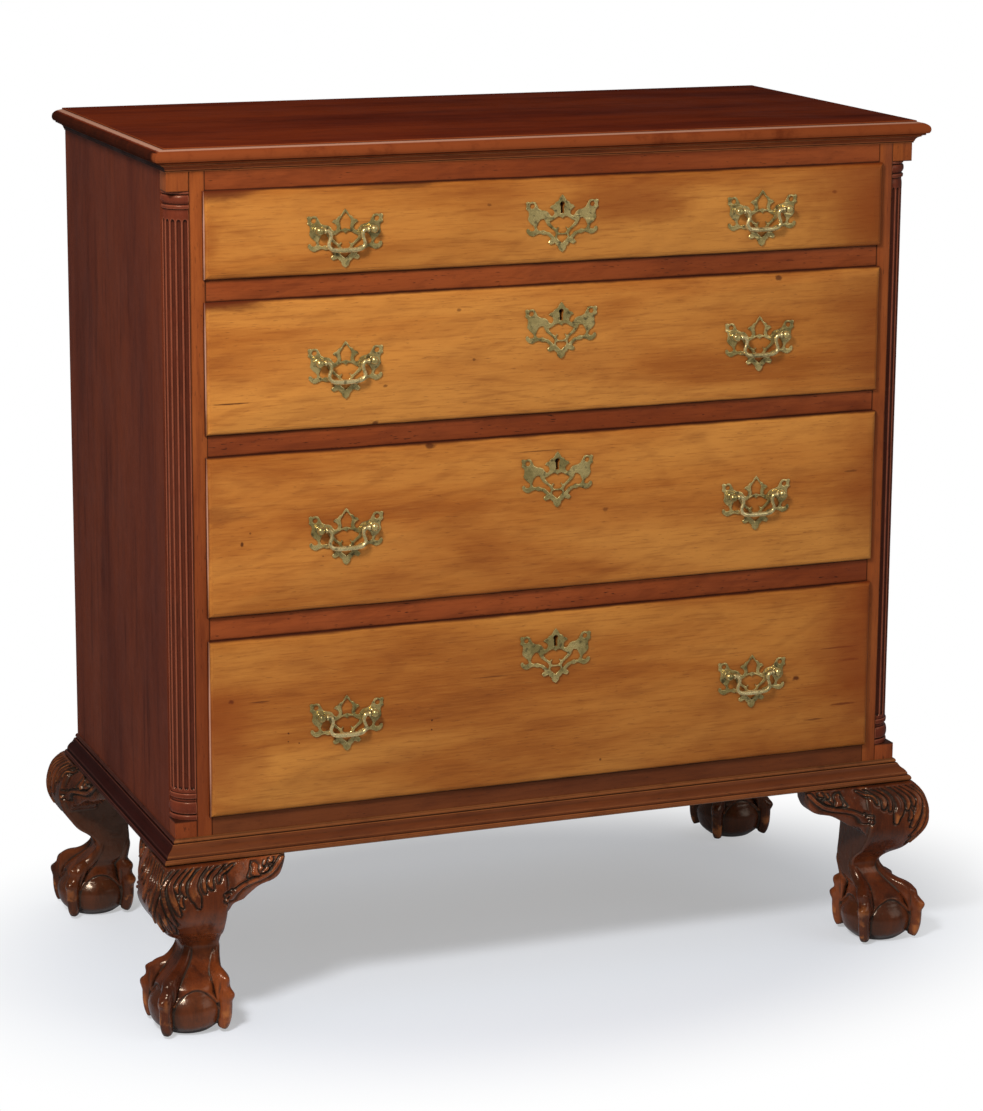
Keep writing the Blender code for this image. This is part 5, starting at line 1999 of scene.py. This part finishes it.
@dataclass
class Legs:
    """Four carved cabriole legs, each with two knee brackets and a ball-and-claw foot.

    Attributes:
        height: The legs' height.
        unit: What the reaches of rows and bracket count in.
        spread: How far the feet's middles are from the chest's, along X and Y.
        ball_radius: The ball's greatest radius.
        ball_height: Its height.
        setback: How far in the ankle stands from the foot's middle.
        talon_reach: What the claws' reach counts in.
        bracket_length: The length of a bracket from the leg's middle.
        bracket_drop: How far down it reaches.
        bracket_thickness: How far its back lies from its top edge.
        bulge_share: How high on it its bulge is.
        undercut: The reach of its lower edge as a share of its bulge's.
        arris: The rounding of the knee's arrises.
        moat: How deep the ground is cut beside the leaves, in millimetres.
        ground: How deep it is cut between them, in millimetres.
        vein: Width and depth of a leaf's middle groove, in millimetres.
        joints: Reach and height of the claws' two joints in shares.
        web: Height of the skin's arch over the ball at the claws, its rise, and half its width.
        rows: Height as a share of the leg's; outward face, inward face and corner rounding in units.
        bracket: Along the bracket, down to its lower edge, and the reach of its top and of its bulge.
        ball: Radius and height of the ball in shares.
        talon: Reach and height in shares, radius in metres, and how far it follows the ankle.
        carving: The carved leaf and the scroll of the bracket.
    """

    height: float = 0.2067
    unit: float = 0.050
    spread: Flat = (0.457, 0.220)
    ball_radius: float = 0.046
    ball_height: float = 0.063
    setback: float = 0.019
    talon_reach: float = 0.060
    bracket_length: float = 0.116
    bracket_drop: float = 0.075
    bracket_thickness: float = 0.026
    bulge_share: float = 0.45
    undercut: float = 0.85
    arris: float = 0.004
    moat: float = 2.2
    ground: float = 0.6
    vein: float = 0.9
    joints: Sequence[Flat] = ((0.77, 1.00), (0.90, 0.72))
    web: tuple[float, float, float] = (0.0310, 0.0245, 0.0270)
    rows: Sequence[tuple[float, float, float, float]] = (
        (1.000, 0.65, 0.76, 0.20), (0.950, 0.83, 0.76, 0.26), (0.895, 0.94, 0.76, 0.32), (0.820, 1.00, 0.76, 0.36),
        (0.750, 0.98, 0.76, 0.36), (0.690, 0.88, 0.76, 0.34), (0.630, 0.71, 0.77, 0.32), (0.580, 0.54, 0.78, 0.28),
        (0.540, 0.30, 0.79, 0.26), (0.500, 0.13, 0.80, 0.25), (0.460, 0.07, 0.79, 0.26), (0.415, 0.13, 0.78, 0.30),
        (0.370, 0.29, 0.76, 0.38), (0.325, 0.50, 0.68, 0.48), (0.280, 0.66, 0.70, 0.62), (0.245, 0.73, 0.74, 0.70),
        (0.210, 0.74, 0.74, 0.72),
    )
    bracket: Sequence[tuple[float, float, float, float]] = (
        (0.17, 0.70, 0.62, 0.92), (0.27, 0.80, 0.60, 0.91), (0.345, 0.78, 0.59, 0.90), (0.41, 0.665, 0.57, 0.87),
        (0.52, 0.625, 0.54, 0.80), (0.58, 0.565, 0.52, 0.75), (0.71, 0.455, 0.50, 0.66), (0.86, 0.41, 0.47, 0.56),
        (0.94, 0.335, 0.44, 0.50), (0.99, 0.185, 0.41, 0.44), (1.00, 0.03, 0.40, 0.41),
    )
    ball: Sequence[Flat] = (
        (0.0, 1.0), (0.44, 0.93), (0.76, 0.80), (0.96, 0.60), (1.0, 0.42), (0.90, 0.18), (0.62, 0.0),
    )
    talon: Sequence[tuple[float, float, float, float]] = (
        (0.377, 1.72, 0.0030, 1.00), (0.389, 1.51, 0.0052, 1.00), (0.400, 1.362, 0.0066, 0.85),
        (0.462, 1.214, 0.0074, 0.60), (0.545, 1.120, 0.0080, 0.38), (0.660, 1.055, 0.0088, 0.22),
        (0.735, 0.985, 0.0092, 0.14), (0.775, 0.900, 0.0083, 0.08), (0.800, 0.830, 0.0082, 0.04),
        (0.840, 0.760, 0.0088, 0.01), (0.860, 0.690, 0.0090, 0.00), (0.855, 0.600, 0.0080, 0.00),
        (0.860, 0.500, 0.0075, 0.00), (0.850, 0.340, 0.0074, 0.00), (0.820, 0.190, 0.0069, 0.00),
        (0.785, 0.090, 0.0058, 0.00),
    )
    carving: Sequence[Cut] = (
        Cut(((79, 203), (75, 199), (72, 196), (73.5, 189)), 3.6, 1.8),
        Cut(((68, 204), (65, 200), (62, 196), (62, 190), (67, 182.5)), 6.2, 2.4, vein=True),
        Cut(((60, 205), (55, 199), (54, 192), (59, 179)), 4.6, 2.2),
        Cut(((47, 205), (43, 197), (42, 189), (44, 181), (50, 171), (52, 163)), 10.5, 3.0, vein=True, wear=0.9),
        Cut(((36, 205.5), (33, 199), (30, 192), (31, 185), (35, 178)), 5.4, 2.2),
        Cut(((30, 206), (25, 199), (22, 190), (25, 182)), 5.0, 2.0),
        Cut(((22, 206), (16, 198), (14, 190), (18, 180), (24, 167), (28, 155)), 8.0, 2.8, vein=True, wear=0.8),
        Cut(((31, 178), (30, 170), (33, 164)), 4.0, 1.6),
        Cut(((13, 206), (8, 197), (4, 186), (9, 172), (15, 157), (19, 141)), 6.6, 2.6, vein=True, wear=0.8),
        Cut(((3, 206), (-1, 195), (-4, 181), (0, 168), (6, 152), (8, 130)), 8.0, 2.8, vein=True, wear=1.0),
        Cut(((12, 150), (13, 140), (11, 128)), 4.2, 1.8, wear=0.4),
        Cut(((86, 166), (92, 173), (99, 178.5), (107, 181), (115, 182.5), (123, 186), (130, 193), (134, 202)),
            4.6, 1.7, tapers=False, wear=0.5),
        Cut(((84, 173), (87, 170), (90, 172), (88, 176)), 3.4, 1.6, wear=0.6),
        Cut(((103, 201), (107, 197), (108.5, 191.5), (113, 188)), 6.0, 2.2, wear=0.3),
        Cut(((118, 190), (121, 193), (120, 196)), 4.0, 1.6, wear=0.2),
        Cut(((121.6, 204.5), (122.4, 202), (121.2, 200)), 5.4, 2.0, wear=0.5),
        Cut(((99, 204), (101, 196), (101.5, 188), (106, 185.5), (116, 186.5), (124, 190), (128, 197)),
            2.6, -1.7, tapers=False),
        Cut(((114, 203), (114.5, 198), (118.5, 195.5), (124, 196), (127, 201)), 2.2, -1.6, tapers=False),
        Cut(((52, 206), (48, 200), (47, 194)), 1.6, -1.3), Cut(((64, 206), (60, 202), (58, 196)), 1.6, -1.3),
        Cut(((73, 206), (70, 202), (68.5, 197)), 1.6, -1.2), Cut(((41, 206.5), (38, 201), (37, 195)), 1.6, -1.3),
        Cut(((18, 207), (12, 199), (9, 190)), 1.6, -1.2), Cut(((8, 207), (3, 199), (0, 190)), 1.5, -1.2),
    )

    def build(self, chest: Chest) -> None:
        """Makes the four legs.

        Args:
            chest: The chest.
        """
        pattern = self._carved()
        for n, (depth, flip_y) in enumerate((("front", 1), ("back", -1))):
            for side in Side:
                node, flip_x = f"leg_{depth}_{side.word}", -side.value
                mesh = pattern.copy()
                mesh.transform(Matrix.Diagonal((flip_x, flip_y, 1, 1)))
                if flip_x * flip_y < 0:
                    mesh.flip_normals()
                mesh.transform(Matrix.Translation((side.value * self.spread[0], -flip_y * self.spread[1], 0.0)))
                # The back legs take a darker copy of the wood: painted shade at the back of the chest, with less worn
                # polish.
                wood = LEG_WOOD if flip_y > 0 else LEG_WOOD.tinted(0.55)
                material = Carving(wood).leg(node, 300 + 2 * n + side.value)
                chest.join(f"{node}_carved", mesh, material, "case", (node,))

    def _carved(self) -> Mesh:
        """The front left leg about its foot's centre.

        Returns:
            Its mesh, with the marks "cut", "high" and "bare".
        """
        bm = bmesh.new()
        self._stem(bm)
        for swap in (False, True):
            self._bracket(bm, swap)
        outline = flowing([(r * self.ball_radius, h * self.ball_height, FLOW) for r, h in self.ball], 6)
        add_rows(bm, turned_rows([(max(r, 0.0001), z) for r, z in outline], 72)[::-1])
        leg = self._melted("leg_body", bm, grain=0.0013, smoothing=4)
        bm = bmesh.new()
        bm.from_mesh(leg)
        for x, y in CLAWS:
            self._talon(bm, x, y)
        leg = self._melted("leg", bm, grain=0.00105, smoothing=2)
        self._carve(leg)
        leg.shade_smooth()
        return leg

    def _stem(self, bm: BMesh) -> None:
        """Adds the knee, the shank and the ankle.

        Args:
            bm: The bmesh to add to.
        """
        rings = []
        for share, outer, inner, rounding in smooth_table(self.rows, 6):
            z, a, b, r = self.height * share, self.unit * outer, self.unit * inner, self.unit * rounding
            edge = r + (self.arris - r) * min(1.0, max(0.0, (share - 0.36) / 0.10))
            ring = []
            for x, y, quarter in ((b, b, 0), (-a, b, 1), (-a, -a, 2), (b, -a, 3)):
                radius = r if quarter == 2 else edge
                middle = (x - radius if x > 0 else x + radius, y - radius if y > 0 else y + radius)
                for angle in (pi / 2 * (quarter + n / 8) for n in range(9)):
                    ring.append((middle[0] + radius * cos(angle), middle[1] + radius * sin(angle), z))
            rings.append(ring)
        add_rows(bm, rings[::-1])

    def _bracket(self, bm: BMesh, swap: bool) -> None:
        """Adds a knee bracket.

        Args:
            bm: The bmesh to add to.
            swap: Whether it runs along the side of the chest.
        """
        rings = []
        for along, drop, top, bulge in smooth_table(self.bracket, 5):
            x, low = self.bracket_length * along, self.height - self.bracket_drop * drop
            middle = low + (self.height - low) * self.bulge_share
            top_reach, reach = self.unit * top, self.unit * bulge
            back = self.bracket_thickness - top_reach
            section = flowing((
                (back, self.height, CORNER), (back, low, CORNER), (-reach * self.undercut, low, CORNER),
                (-reach, middle, FLOW), (-top_reach, self.height, CORNER),
            ), 6)
            rings.append([(y, x, z) if swap else (x, y, z) for y, z in section])
        add_rows(bm, rings)

    def _talon(self, bm: BMesh, across: int, deep: int) -> None:
        """Adds one claw.

        Args:
            bm: The bmesh to add to.
            across: Its direction along X.
            deep: Its direction along Y.
        """
        path = []
        for reach, height, radius, follow in smooth_table(self.talon, 5):
            out = self.talon_reach * reach * cos(pi / 4)
            shift = self.setback * follow
            path.append((Vector((across * out + shift, deep * out + shift, self.ball_height * height)), radius))
        squareness, flatness = 0.72, 0.94
        rings = []
        for n, (spot, radius) in enumerate(path):
            way = (path[min(n + 1, len(path) - 1)][0] - path[max(n - 1, 0)][0]).normalized()
            side = way.cross(Vector((across, deep, 0.0))).normalized()
            out = side.cross(way).normalized()
            ring = []
            for a in np.linspace(0, 2 * pi, 24, endpoint=False):
                flat, sharp = (abs(v) ** squareness * (1 if v > 0 else -1) for v in (cos(a), sin(a)))
                ring.append(spot + (side * flat * flatness + out * sharp) * radius)
            rings.append(ring)
        add_rows(bm, rings)

    @staticmethod
    def _melted(name: str, bm: BMesh, grain: float, smoothing: int) -> Mesh:
        """Melts overlapping solids into one even skin.

        Args:
            name: The mesh's name.
            bm: The solids, which are freed.
            grain: The size of the skin's faces.
            smoothing: How often it is smoothed.

        Returns:
            The skin.
        """
        bmesh.ops.recalc_face_normals(bm, faces=bm.faces)
        mesh = bpy.data.meshes.new(name)
        bm.to_mesh(mesh)
        bm.free()
        obj = on_bench(name, mesh)
        melt = obj.modifiers.new("melt", "REMESH")
        melt.mode, melt.voxel_size, melt.adaptivity = "VOXEL", grain, 0.0
        smooth = obj.modifiers.new("smooth", "SMOOTH")
        smooth.factor, smooth.iterations = 0.5, smoothing
        return finished(obj)

    def _carve(self, mesh: Mesh) -> None:
        """Carves the knee, the brackets and the foot.

        Args:
            mesh: The leg, which is changed.
        """
        spots, normals = points_of(mesh)
        height = spots[:, 2]
        place = np.stack([np.abs(spots[:, 0] - spots[:, 1]) * 1000, height * 1000], axis=1)
        outward = clipped(-np.minimum(normals[:, 0], normals[:, 1]) * 2.4 - 0.3)
        outward *= clipped((self.height - 0.0004 - height) / 0.002)
        rise, gap, dug, wear = (np.full(len(spots), value) for value in (0.0, 99.0, 0.0, 0.0))
        for cut in self.carving:
            far, along = distance_to(place, cut.line)
            half = np.full(len(spots), cut.width / 2)
            if cut.tapers:
                half *= np.clip(np.minimum(0.55 + 1.4 * along, 0.42 + 2.4 * (1 - along)), 0.2, 1.0)
            dome = np.sqrt(clipped(1 - (far / half) ** 2))
            if cut.rise < 0:
                dug = np.maximum(dug, dome * -cut.rise)
                continue
            here = dome * (cut.rise * (0.45 + 0.55 * along) if cut.tapers else cut.rise)
            if cut.vein:
                vein = clipped(1 - far / self.vein) * clipped((0.8 - along) * 5)
                here -= vein * self.vein
                dug = np.maximum(dug, vein * 0.5)
            tip = cut.wear * clipped(dome * 1.6 - 0.5) * clipped(along * 2.2 - 0.9)
            wear = np.where(here > rise, tip, wear)
            rise, gap = np.maximum(rise, here), np.minimum(gap, far - half)
        moat = clipped(1 - np.abs(np.clip(gap, 0.0, None) - 0.9) / 2.2) * (gap > -0.3)
        ground = clipped((5.0 - gap) / 3.0)
        lift = (rise - self.moat * moat - dug * (gap > 0.0) - self.ground * ground) * outward
        arch, line, ball = self._web(spots)
        lift += arch + self._knuckles(spots, normals)
        mesh.vertices.foreach_set("co", (spots + normals * lift[:, None] * 0.001).ravel())
        mesh.update()
        bend = bends(mesh, 2)
        # The mark "cut" darkens the grounds round the leaves, the veins, the hollows and the line under the web: dust
        # with painted shade.
        soot_and_shade = np.maximum(clipped(moat + dug * 0.8) * outward, np.clip((-bend - 35) / 150, 0.0, 0.9))
        # The mark "high" pales the leaves' tips, the claws and the sharp bends: worn polish with painted highlights.
        worn = np.maximum(wear * outward + self._worn_claws(spots), np.clip((bend - 130) / 260, 0.0, 0.8))
        # The inward faces over the ball are painted with shade.
        inner = clipped(np.maximum(normals[:, 0], normals[:, 1]) * 4 - 2.6) * clipped((height - 0.062) / 0.02)
        write_marks(mesh, cut=np.maximum(soot_and_shade, line), high=clipped(worn), bare=np.maximum(inner, ball * 0.6))

    def _web(self, spots: np.ndarray) -> tuple[np.ndarray, np.ndarray, np.ndarray]:
        """The skin between the claws, which ends in an arch over the ball.

        Args:
            spots: The leg's points.

        Returns:
            How far each point is raised in millimetres, how dark the painted shade line under the arch is, and where
            the ball shows.
        """
        height = spots[:, 2]
        turn = np.degrees(np.arctan2(spots[:, 1], spots[:, 0])) - 45.0
        across = self.ball_radius * np.sin(np.radians(45.0 - np.abs((turn + 45.0) % 90.0 - 45.0)))
        foot, crown, half = self.web
        skin_reach, skin_top, fade, line_depth = 0.0475, 0.068, 0.012, 0.8
        arch = foot + crown * np.sqrt(clipped(1 - (across / half) ** 2)) - 4 * np.clip(across - half, 0.0, None)
        near = clipped((skin_reach - np.hypot(spots[:, 0], spots[:, 1])) / 0.002) * (height < 0.075)
        over = (height - arch) * 1000
        raised = 2.0 * clipped(over / 1.2 + 0.5) * clipped((skin_top - height) / fade)
        dark = clipped(1 - np.abs(over + 0.9) / 1.3)
        return (raised - line_depth * dark) * near, dark * near * 0.9, clipped(-over) * near

    def _knuckles(self, spots: np.ndarray, normals: np.ndarray) -> np.ndarray:
        """The bony points of the claws' joints.

        Args:
            spots: The leg's points.
            normals: Their normals.

        Returns:
            How far each point is raised in millimetres.
        """
        lift = np.zeros(len(spots))
        slope, rise, radius, depth = 0.35, 4.2, 0.0085, 0.008
        for across, deep in CLAWS:
            away = np.array([across, deep, slope]) / hypot(1.414, slope)
            for reach, height in self.joints:
                centre = np.array([across, deep, 0.0]) * self.talon_reach * reach * cos(pi / 4)
                centre[2] = self.ball_height * height
                far = np.linalg.norm(spots - centre - away * depth, axis=1)
                lift += rise * clipped(1 - far / radius) ** 1.3 * clipped(normals @ away)
        return lift

    @staticmethod
    def _worn_claws(spots: np.ndarray) -> np.ndarray:
        """Where the knuckles and nails are worn pale.

        Args:
            spots: The leg's points.

        Returns:
            How worn each point is.
        """
        nail_reach, nail_top, knuckle_reach, fade = 0.0490, 0.036, 0.0560, 0.004
        reach, height = np.hypot(spots[:, 0], spots[:, 1]), spots[:, 2]
        nails = clipped((reach - nail_reach) / fade) * clipped((nail_top - height) / 0.012)
        knuckles = clipped((reach - knuckle_reach) / fade) * 0.6
        return np.maximum(knuckles, nails) * ((height < 0.072) & (height > 0.002))


def distance_to(spots: np.ndarray, line: Sequence[Flat]) -> tuple[np.ndarray, np.ndarray]:
    """How far points lie from a line, and where along it.

    Args:
        spots: The points.
        line: The points of the line.

    Returns:
        The distance, and the nearest place as a share of the line's length.
    """
    fine = np.array(flowing([(a, b, FLOW) for a, b in line], 6))
    lengths = np.hypot(*(fine[1:] - fine[:-1]).T)
    starts = np.concatenate([[0.0], np.cumsum(lengths)])
    far, along = np.full(len(spots), np.inf), np.zeros(len(spots))
    for n, (start, end) in enumerate(zip(fine, fine[1:])):
        way = end - start
        t = clipped(((spots - start) @ way) / max(float(way @ way), 1e-9))
        here = np.hypot(*(spots - (start + t[:, None] * way)).T)
        closer = here < far
        far[closer] = here[closer]
        along[closer] = ((starts[n] + t * lengths[n]) / starts[-1])[closer]
    return far, along


# The studio


@dataclass
class Studio:
    """The camera, the pale floor and the soft light.

    Attributes:
        place: Where the camera is.
        yaw: How far it is turned from straight ahead, in degrees.
        pitch: How far it looks down, in degrees.
        roll: How far it leans, in degrees.
        lens: Its lens in millimetres.
        shift_y: How far the picture is shifted up, in shares of its longer side.
        soft: The strength of the even light.
        mirrored: How bright the white surroundings are in what mirrors them.
        floor_lift: How white the floor is where the chest stands, as the camera sees it.
    """

    place: Point = (-1.4742, -3.8162, 1.4711)
    yaw: float = -21.259
    pitch: float = 12.037
    roll: float = 0.336
    lens: float = 107.97
    shift_y: float = -0.08
    soft: float = 0.36
    mirrored: float = 0.10
    floor_lift: float = 0.34

    def build(self) -> None:
        """Sets up the whole studio."""
        self._camera()
        self._floor()
        self._world()
        self._lamp("key", (-1.65, -1.75, 2.4), (-0.1, 0.0, 0.75), 0.5, 68.0, (1.0, 0.97, 0.93))
        self._lamp("fill", (2.6, -2.8, 1.9), (0.1, 0.0, 0.5), 2.0, 14.0, (0.97, 0.98, 1.0))
        bpy.context.scene.view_settings.view_transform = "Standard"

    def _camera(self) -> None:
        """Sets up the camera."""
        data = bpy.data.cameras.new("camera")
        data.lens, data.sensor_width, data.shift_y = self.lens, 36.0, self.shift_y
        data.clip_start, data.clip_end = 0.1, 60.0
        camera = on_bench("camera", data)
        yaw, pitch, roll = radians(self.yaw), radians(self.pitch), radians(self.roll)
        ahead = Vector((-sin(yaw) * cos(pitch), cos(yaw) * cos(pitch), -sin(pitch)))
        right = Vector((cos(yaw), sin(yaw), 0.0))
        up = right.cross(ahead)
        right, up = right * cos(roll) + up * sin(roll), up * cos(roll) - right * sin(roll)
        camera.matrix_world = Matrix.Translation(self.place) @ Matrix((right, up, -ahead)).transposed().to_4x4()
        bpy.context.scene.camera = camera

    def _floor(self) -> None:
        """Makes the floor, which turns pure white away from the chest and keeps its shadow."""
        bm = bmesh.new()
        add_rows(bm, [[(x, y, 0.0) for x in (-9.0, 9.0)] for y in (-9.0, 9.0)], solid=False)
        mesh = mesh_of("floor", bm)
        s = Shading("floor")
        mesh.materials.append(s.finish({
            "Base Color": (0.82, 0.885, 1.0, 1.0), "Roughness": 0.9, "Specular IOR Level": 0.0,
        }))
        far = s.span(s.length(s.moved((0.0, 0.03, 0.0), (1 / 0.58, 1 / 0.42, 1.0))), 0.78, 1.42)
        rays = s.nodes.new("ShaderNodeLightPath").outputs
        mirrored = s.sums("MAXIMUM", rays["Is Glossy Ray"], rays["Is Transmission Ray"])
        seen = s.sums("MAXIMUM", rays["Is Camera Ray"], mirrored)
        white, mix = s.nodes.new("ShaderNodeEmission"), s.nodes.new("ShaderNodeMixShader")
        s.put(white.inputs["Strength"], s.sums("SUBTRACT", 1.0, s.times(mirrored, 1.0 - self.mirrored)))
        lifted = s.sums("ADD", self.floor_lift, s.times(far, 1.0 - self.floor_lift))
        s.put(mix.inputs[0], s.times(lifted, seen))
        s.put(mix.inputs[1], s.shader.outputs[0])
        s.put(mix.inputs[2], white.outputs[0])
        s.put(s.nodes["Material Output"].inputs["Surface"], mix.outputs[0])
        on_bench("floor", mesh)

    def _world(self) -> None:
        """Sets up a soft even light, seen as pure white."""
        world = bpy.data.worlds.new("world")
        bpy.context.scene.world = world
        world.use_nodes = True
        nodes, links = world.node_tree.nodes, world.node_tree.links
        output = nodes["World Output"].inputs["Surface"]
        rays = nodes.new("ShaderNodeLightPath")
        under: Socket | None = None
        for strength, kind in (
            (self.soft, "Is Diffuse Ray"), (self.mirrored, "Is Glossy Ray"),
            (self.mirrored, "Is Transmission Ray"), (1.0, "Is Camera Ray"),
        ):
            light = nodes.new("ShaderNodeBackground")
            light.inputs["Color"].default_value = (1.0, 1.0, 1.0, 1.0)
            light.inputs["Strength"].default_value = strength
            if under is None:
                under = light.outputs[0]
                continue
            mix = nodes.new("ShaderNodeMixShader")
            links.new(rays.outputs[kind], mix.inputs[0])
            links.new(under, mix.inputs[1])
            links.new(light.outputs[0], mix.inputs[2])
            under = mix.outputs[0]
        links.new(under, output)

    @staticmethod
    def _lamp(name: str, place: Point, aim: Point, size: float, power: float, colour: Colour) -> None:
        """Adds a soft square lamp.

        Args:
            name: Its name.
            place: Where it stands.
            aim: What it looks at.
            size: The length of its side in metres.
            power: Its power in watts.
            colour: Its colour.
        """
        data = bpy.data.lights.new(name, "AREA")
        data.shape, data.size, data.energy, data.color = "SQUARE", size, power, colour
        lamp = on_bench(name, data)
        lamp.location = place
        lamp.rotation_euler = (Vector(aim) - Vector(place)).to_track_quat("-Z", "Y").to_euler()


# The broad marks at the right ends of the fronts, at x 0.420 and 0.440, paint the shade where the light falls off
# towards the right. The other broad marks are soft blotches in the wood; the small ones are worm holes, knots, cracks
# and stains.
DRAWERS = (
    Drawer(1, 3, 0.006, tint=0.98, marks=(
        Mark(-0.430, 0.9915, 0.0125, 0.90, 7.0, STAIN), Mark(-0.425, 0.935, 0.030, 0.45, 0.5),
        Mark(-0.070, 0.956, 0.030, 0.22, 2.0), Mark(0.095, 0.958, 0.034, 0.66, 3.0),
        Mark(0.362, 0.959, 0.0022, 0.6, 1.6), Mark(0.440, 0.940, 0.112, 0.85, 1.2),
        Mark(-0.085, 0.962, 0.0020, 0.5, 1.5), Mark(-0.20, 0.990, 0.006, 0.5, 9.0),
    )),
    Drawer(2, 4, 0.006, tint=1.04, marks=(
        Mark(-0.430, 0.8645, 0.0140, 0.95, 6.5, STAIN), Mark(-0.400, 0.7472, 0.0011, 0.85, 22.0),
        Mark(0.2896, 0.8575, 0.0036, 0.75, 1.3), Mark(-0.122, 0.841, 0.0022, 0.55, 1.4),
        Mark(-0.213, 0.7566, 0.0018, 0.6, 1.8), Mark(-0.103, 0.781, 0.0020, 0.6, 1.2),
        Mark(0.440, 0.790, 0.095, 0.55, 0.9), Mark(-0.225, 0.7135, 0.0030, 0.7, 1.4),
        Mark(0.03, 0.775, 0.030, 0.14, 3.0),
    )),
    Drawer(3, 5, 0.003, tint=1.00, marks=(
        Mark(-0.388, 0.582, 0.0036, 0.85, 0.6), Mark(-0.378, 0.594, 0.0014, 0.6),
        Mark(0.0663, 0.5887, 0.0030, 0.5, 1.3), Mark(-0.157, 0.6815, 0.0036, 0.8, 1.8),
        Mark(0.440, 0.590, 0.110, 0.62, 0.7), Mark(-0.430, 0.617, 0.010, 0.35, 6.0, STAIN),
        Mark(-0.29, 0.560, 0.0010, 0.8), Mark(0.395, 0.612, 0.0016, 0.5, 6.0),
        Mark(-0.02, 0.666, 0.0009, 0.6, 40.0), Mark(-0.430, 0.640, 0.050, 0.30, 0.6),
    )),
    Drawer(4, 6, 0.003, tint=0.91, marks=(
        Mark(-0.1546, 0.3480, 0.0014, 0.95), Mark(-0.1550, 0.3365, 0.0012, 0.9), Mark(-0.403, 0.395, 0.0026, 0.85, 1.5),
        Mark(-0.368, 0.3915, 0.0010, 0.7, 14.0), Mark(-0.3337, 0.3500, 0.0013, 0.9),
        Mark(-0.3340, 0.3400, 0.0010, 0.8), Mark(-0.3206, 0.3368, 0.0010, 0.8), Mark(0.3268, 0.3540, 0.0030, 0.85, 1.7),
        Mark(0.385, 0.388, 0.0013, 0.7, 22.0), Mark(0.400, 0.371, 0.0016, 0.65, 9.0),
        Mark(0.392, 0.3145, 0.0016, 0.75, 12.0), Mark(0.352, 0.298, 0.0012, 0.6, 12.0),
        Mark(-0.078, 0.3945, 0.0008, 0.6, 30.0), Mark(0.064, 0.2764, 0.0018, 0.7),
        Mark(0.440, 0.380, 0.135, 0.80, 0.8), Mark(0.420, 0.452, 0.022, 0.40, 1.6),
        Mark(-0.425, 0.340, 0.092, 0.58, 0.7),
    )),
)


def main() -> None:
    """Makes the chest and the studio."""
    logging.basicConfig(level=logging.INFO, format="%(name)s: %(message)s")
    chest = Chest(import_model())
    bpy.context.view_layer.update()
    Case().build(chest)
    for drawer in DRAWERS:
        drawer.build(chest)
    Brasses().build(chest, DRAWERS)
    Legs().build(chest)
    Studio().build()
    LOG.info("%d pieces", chest.pieces)


if __name__ == "__main__":
    main()
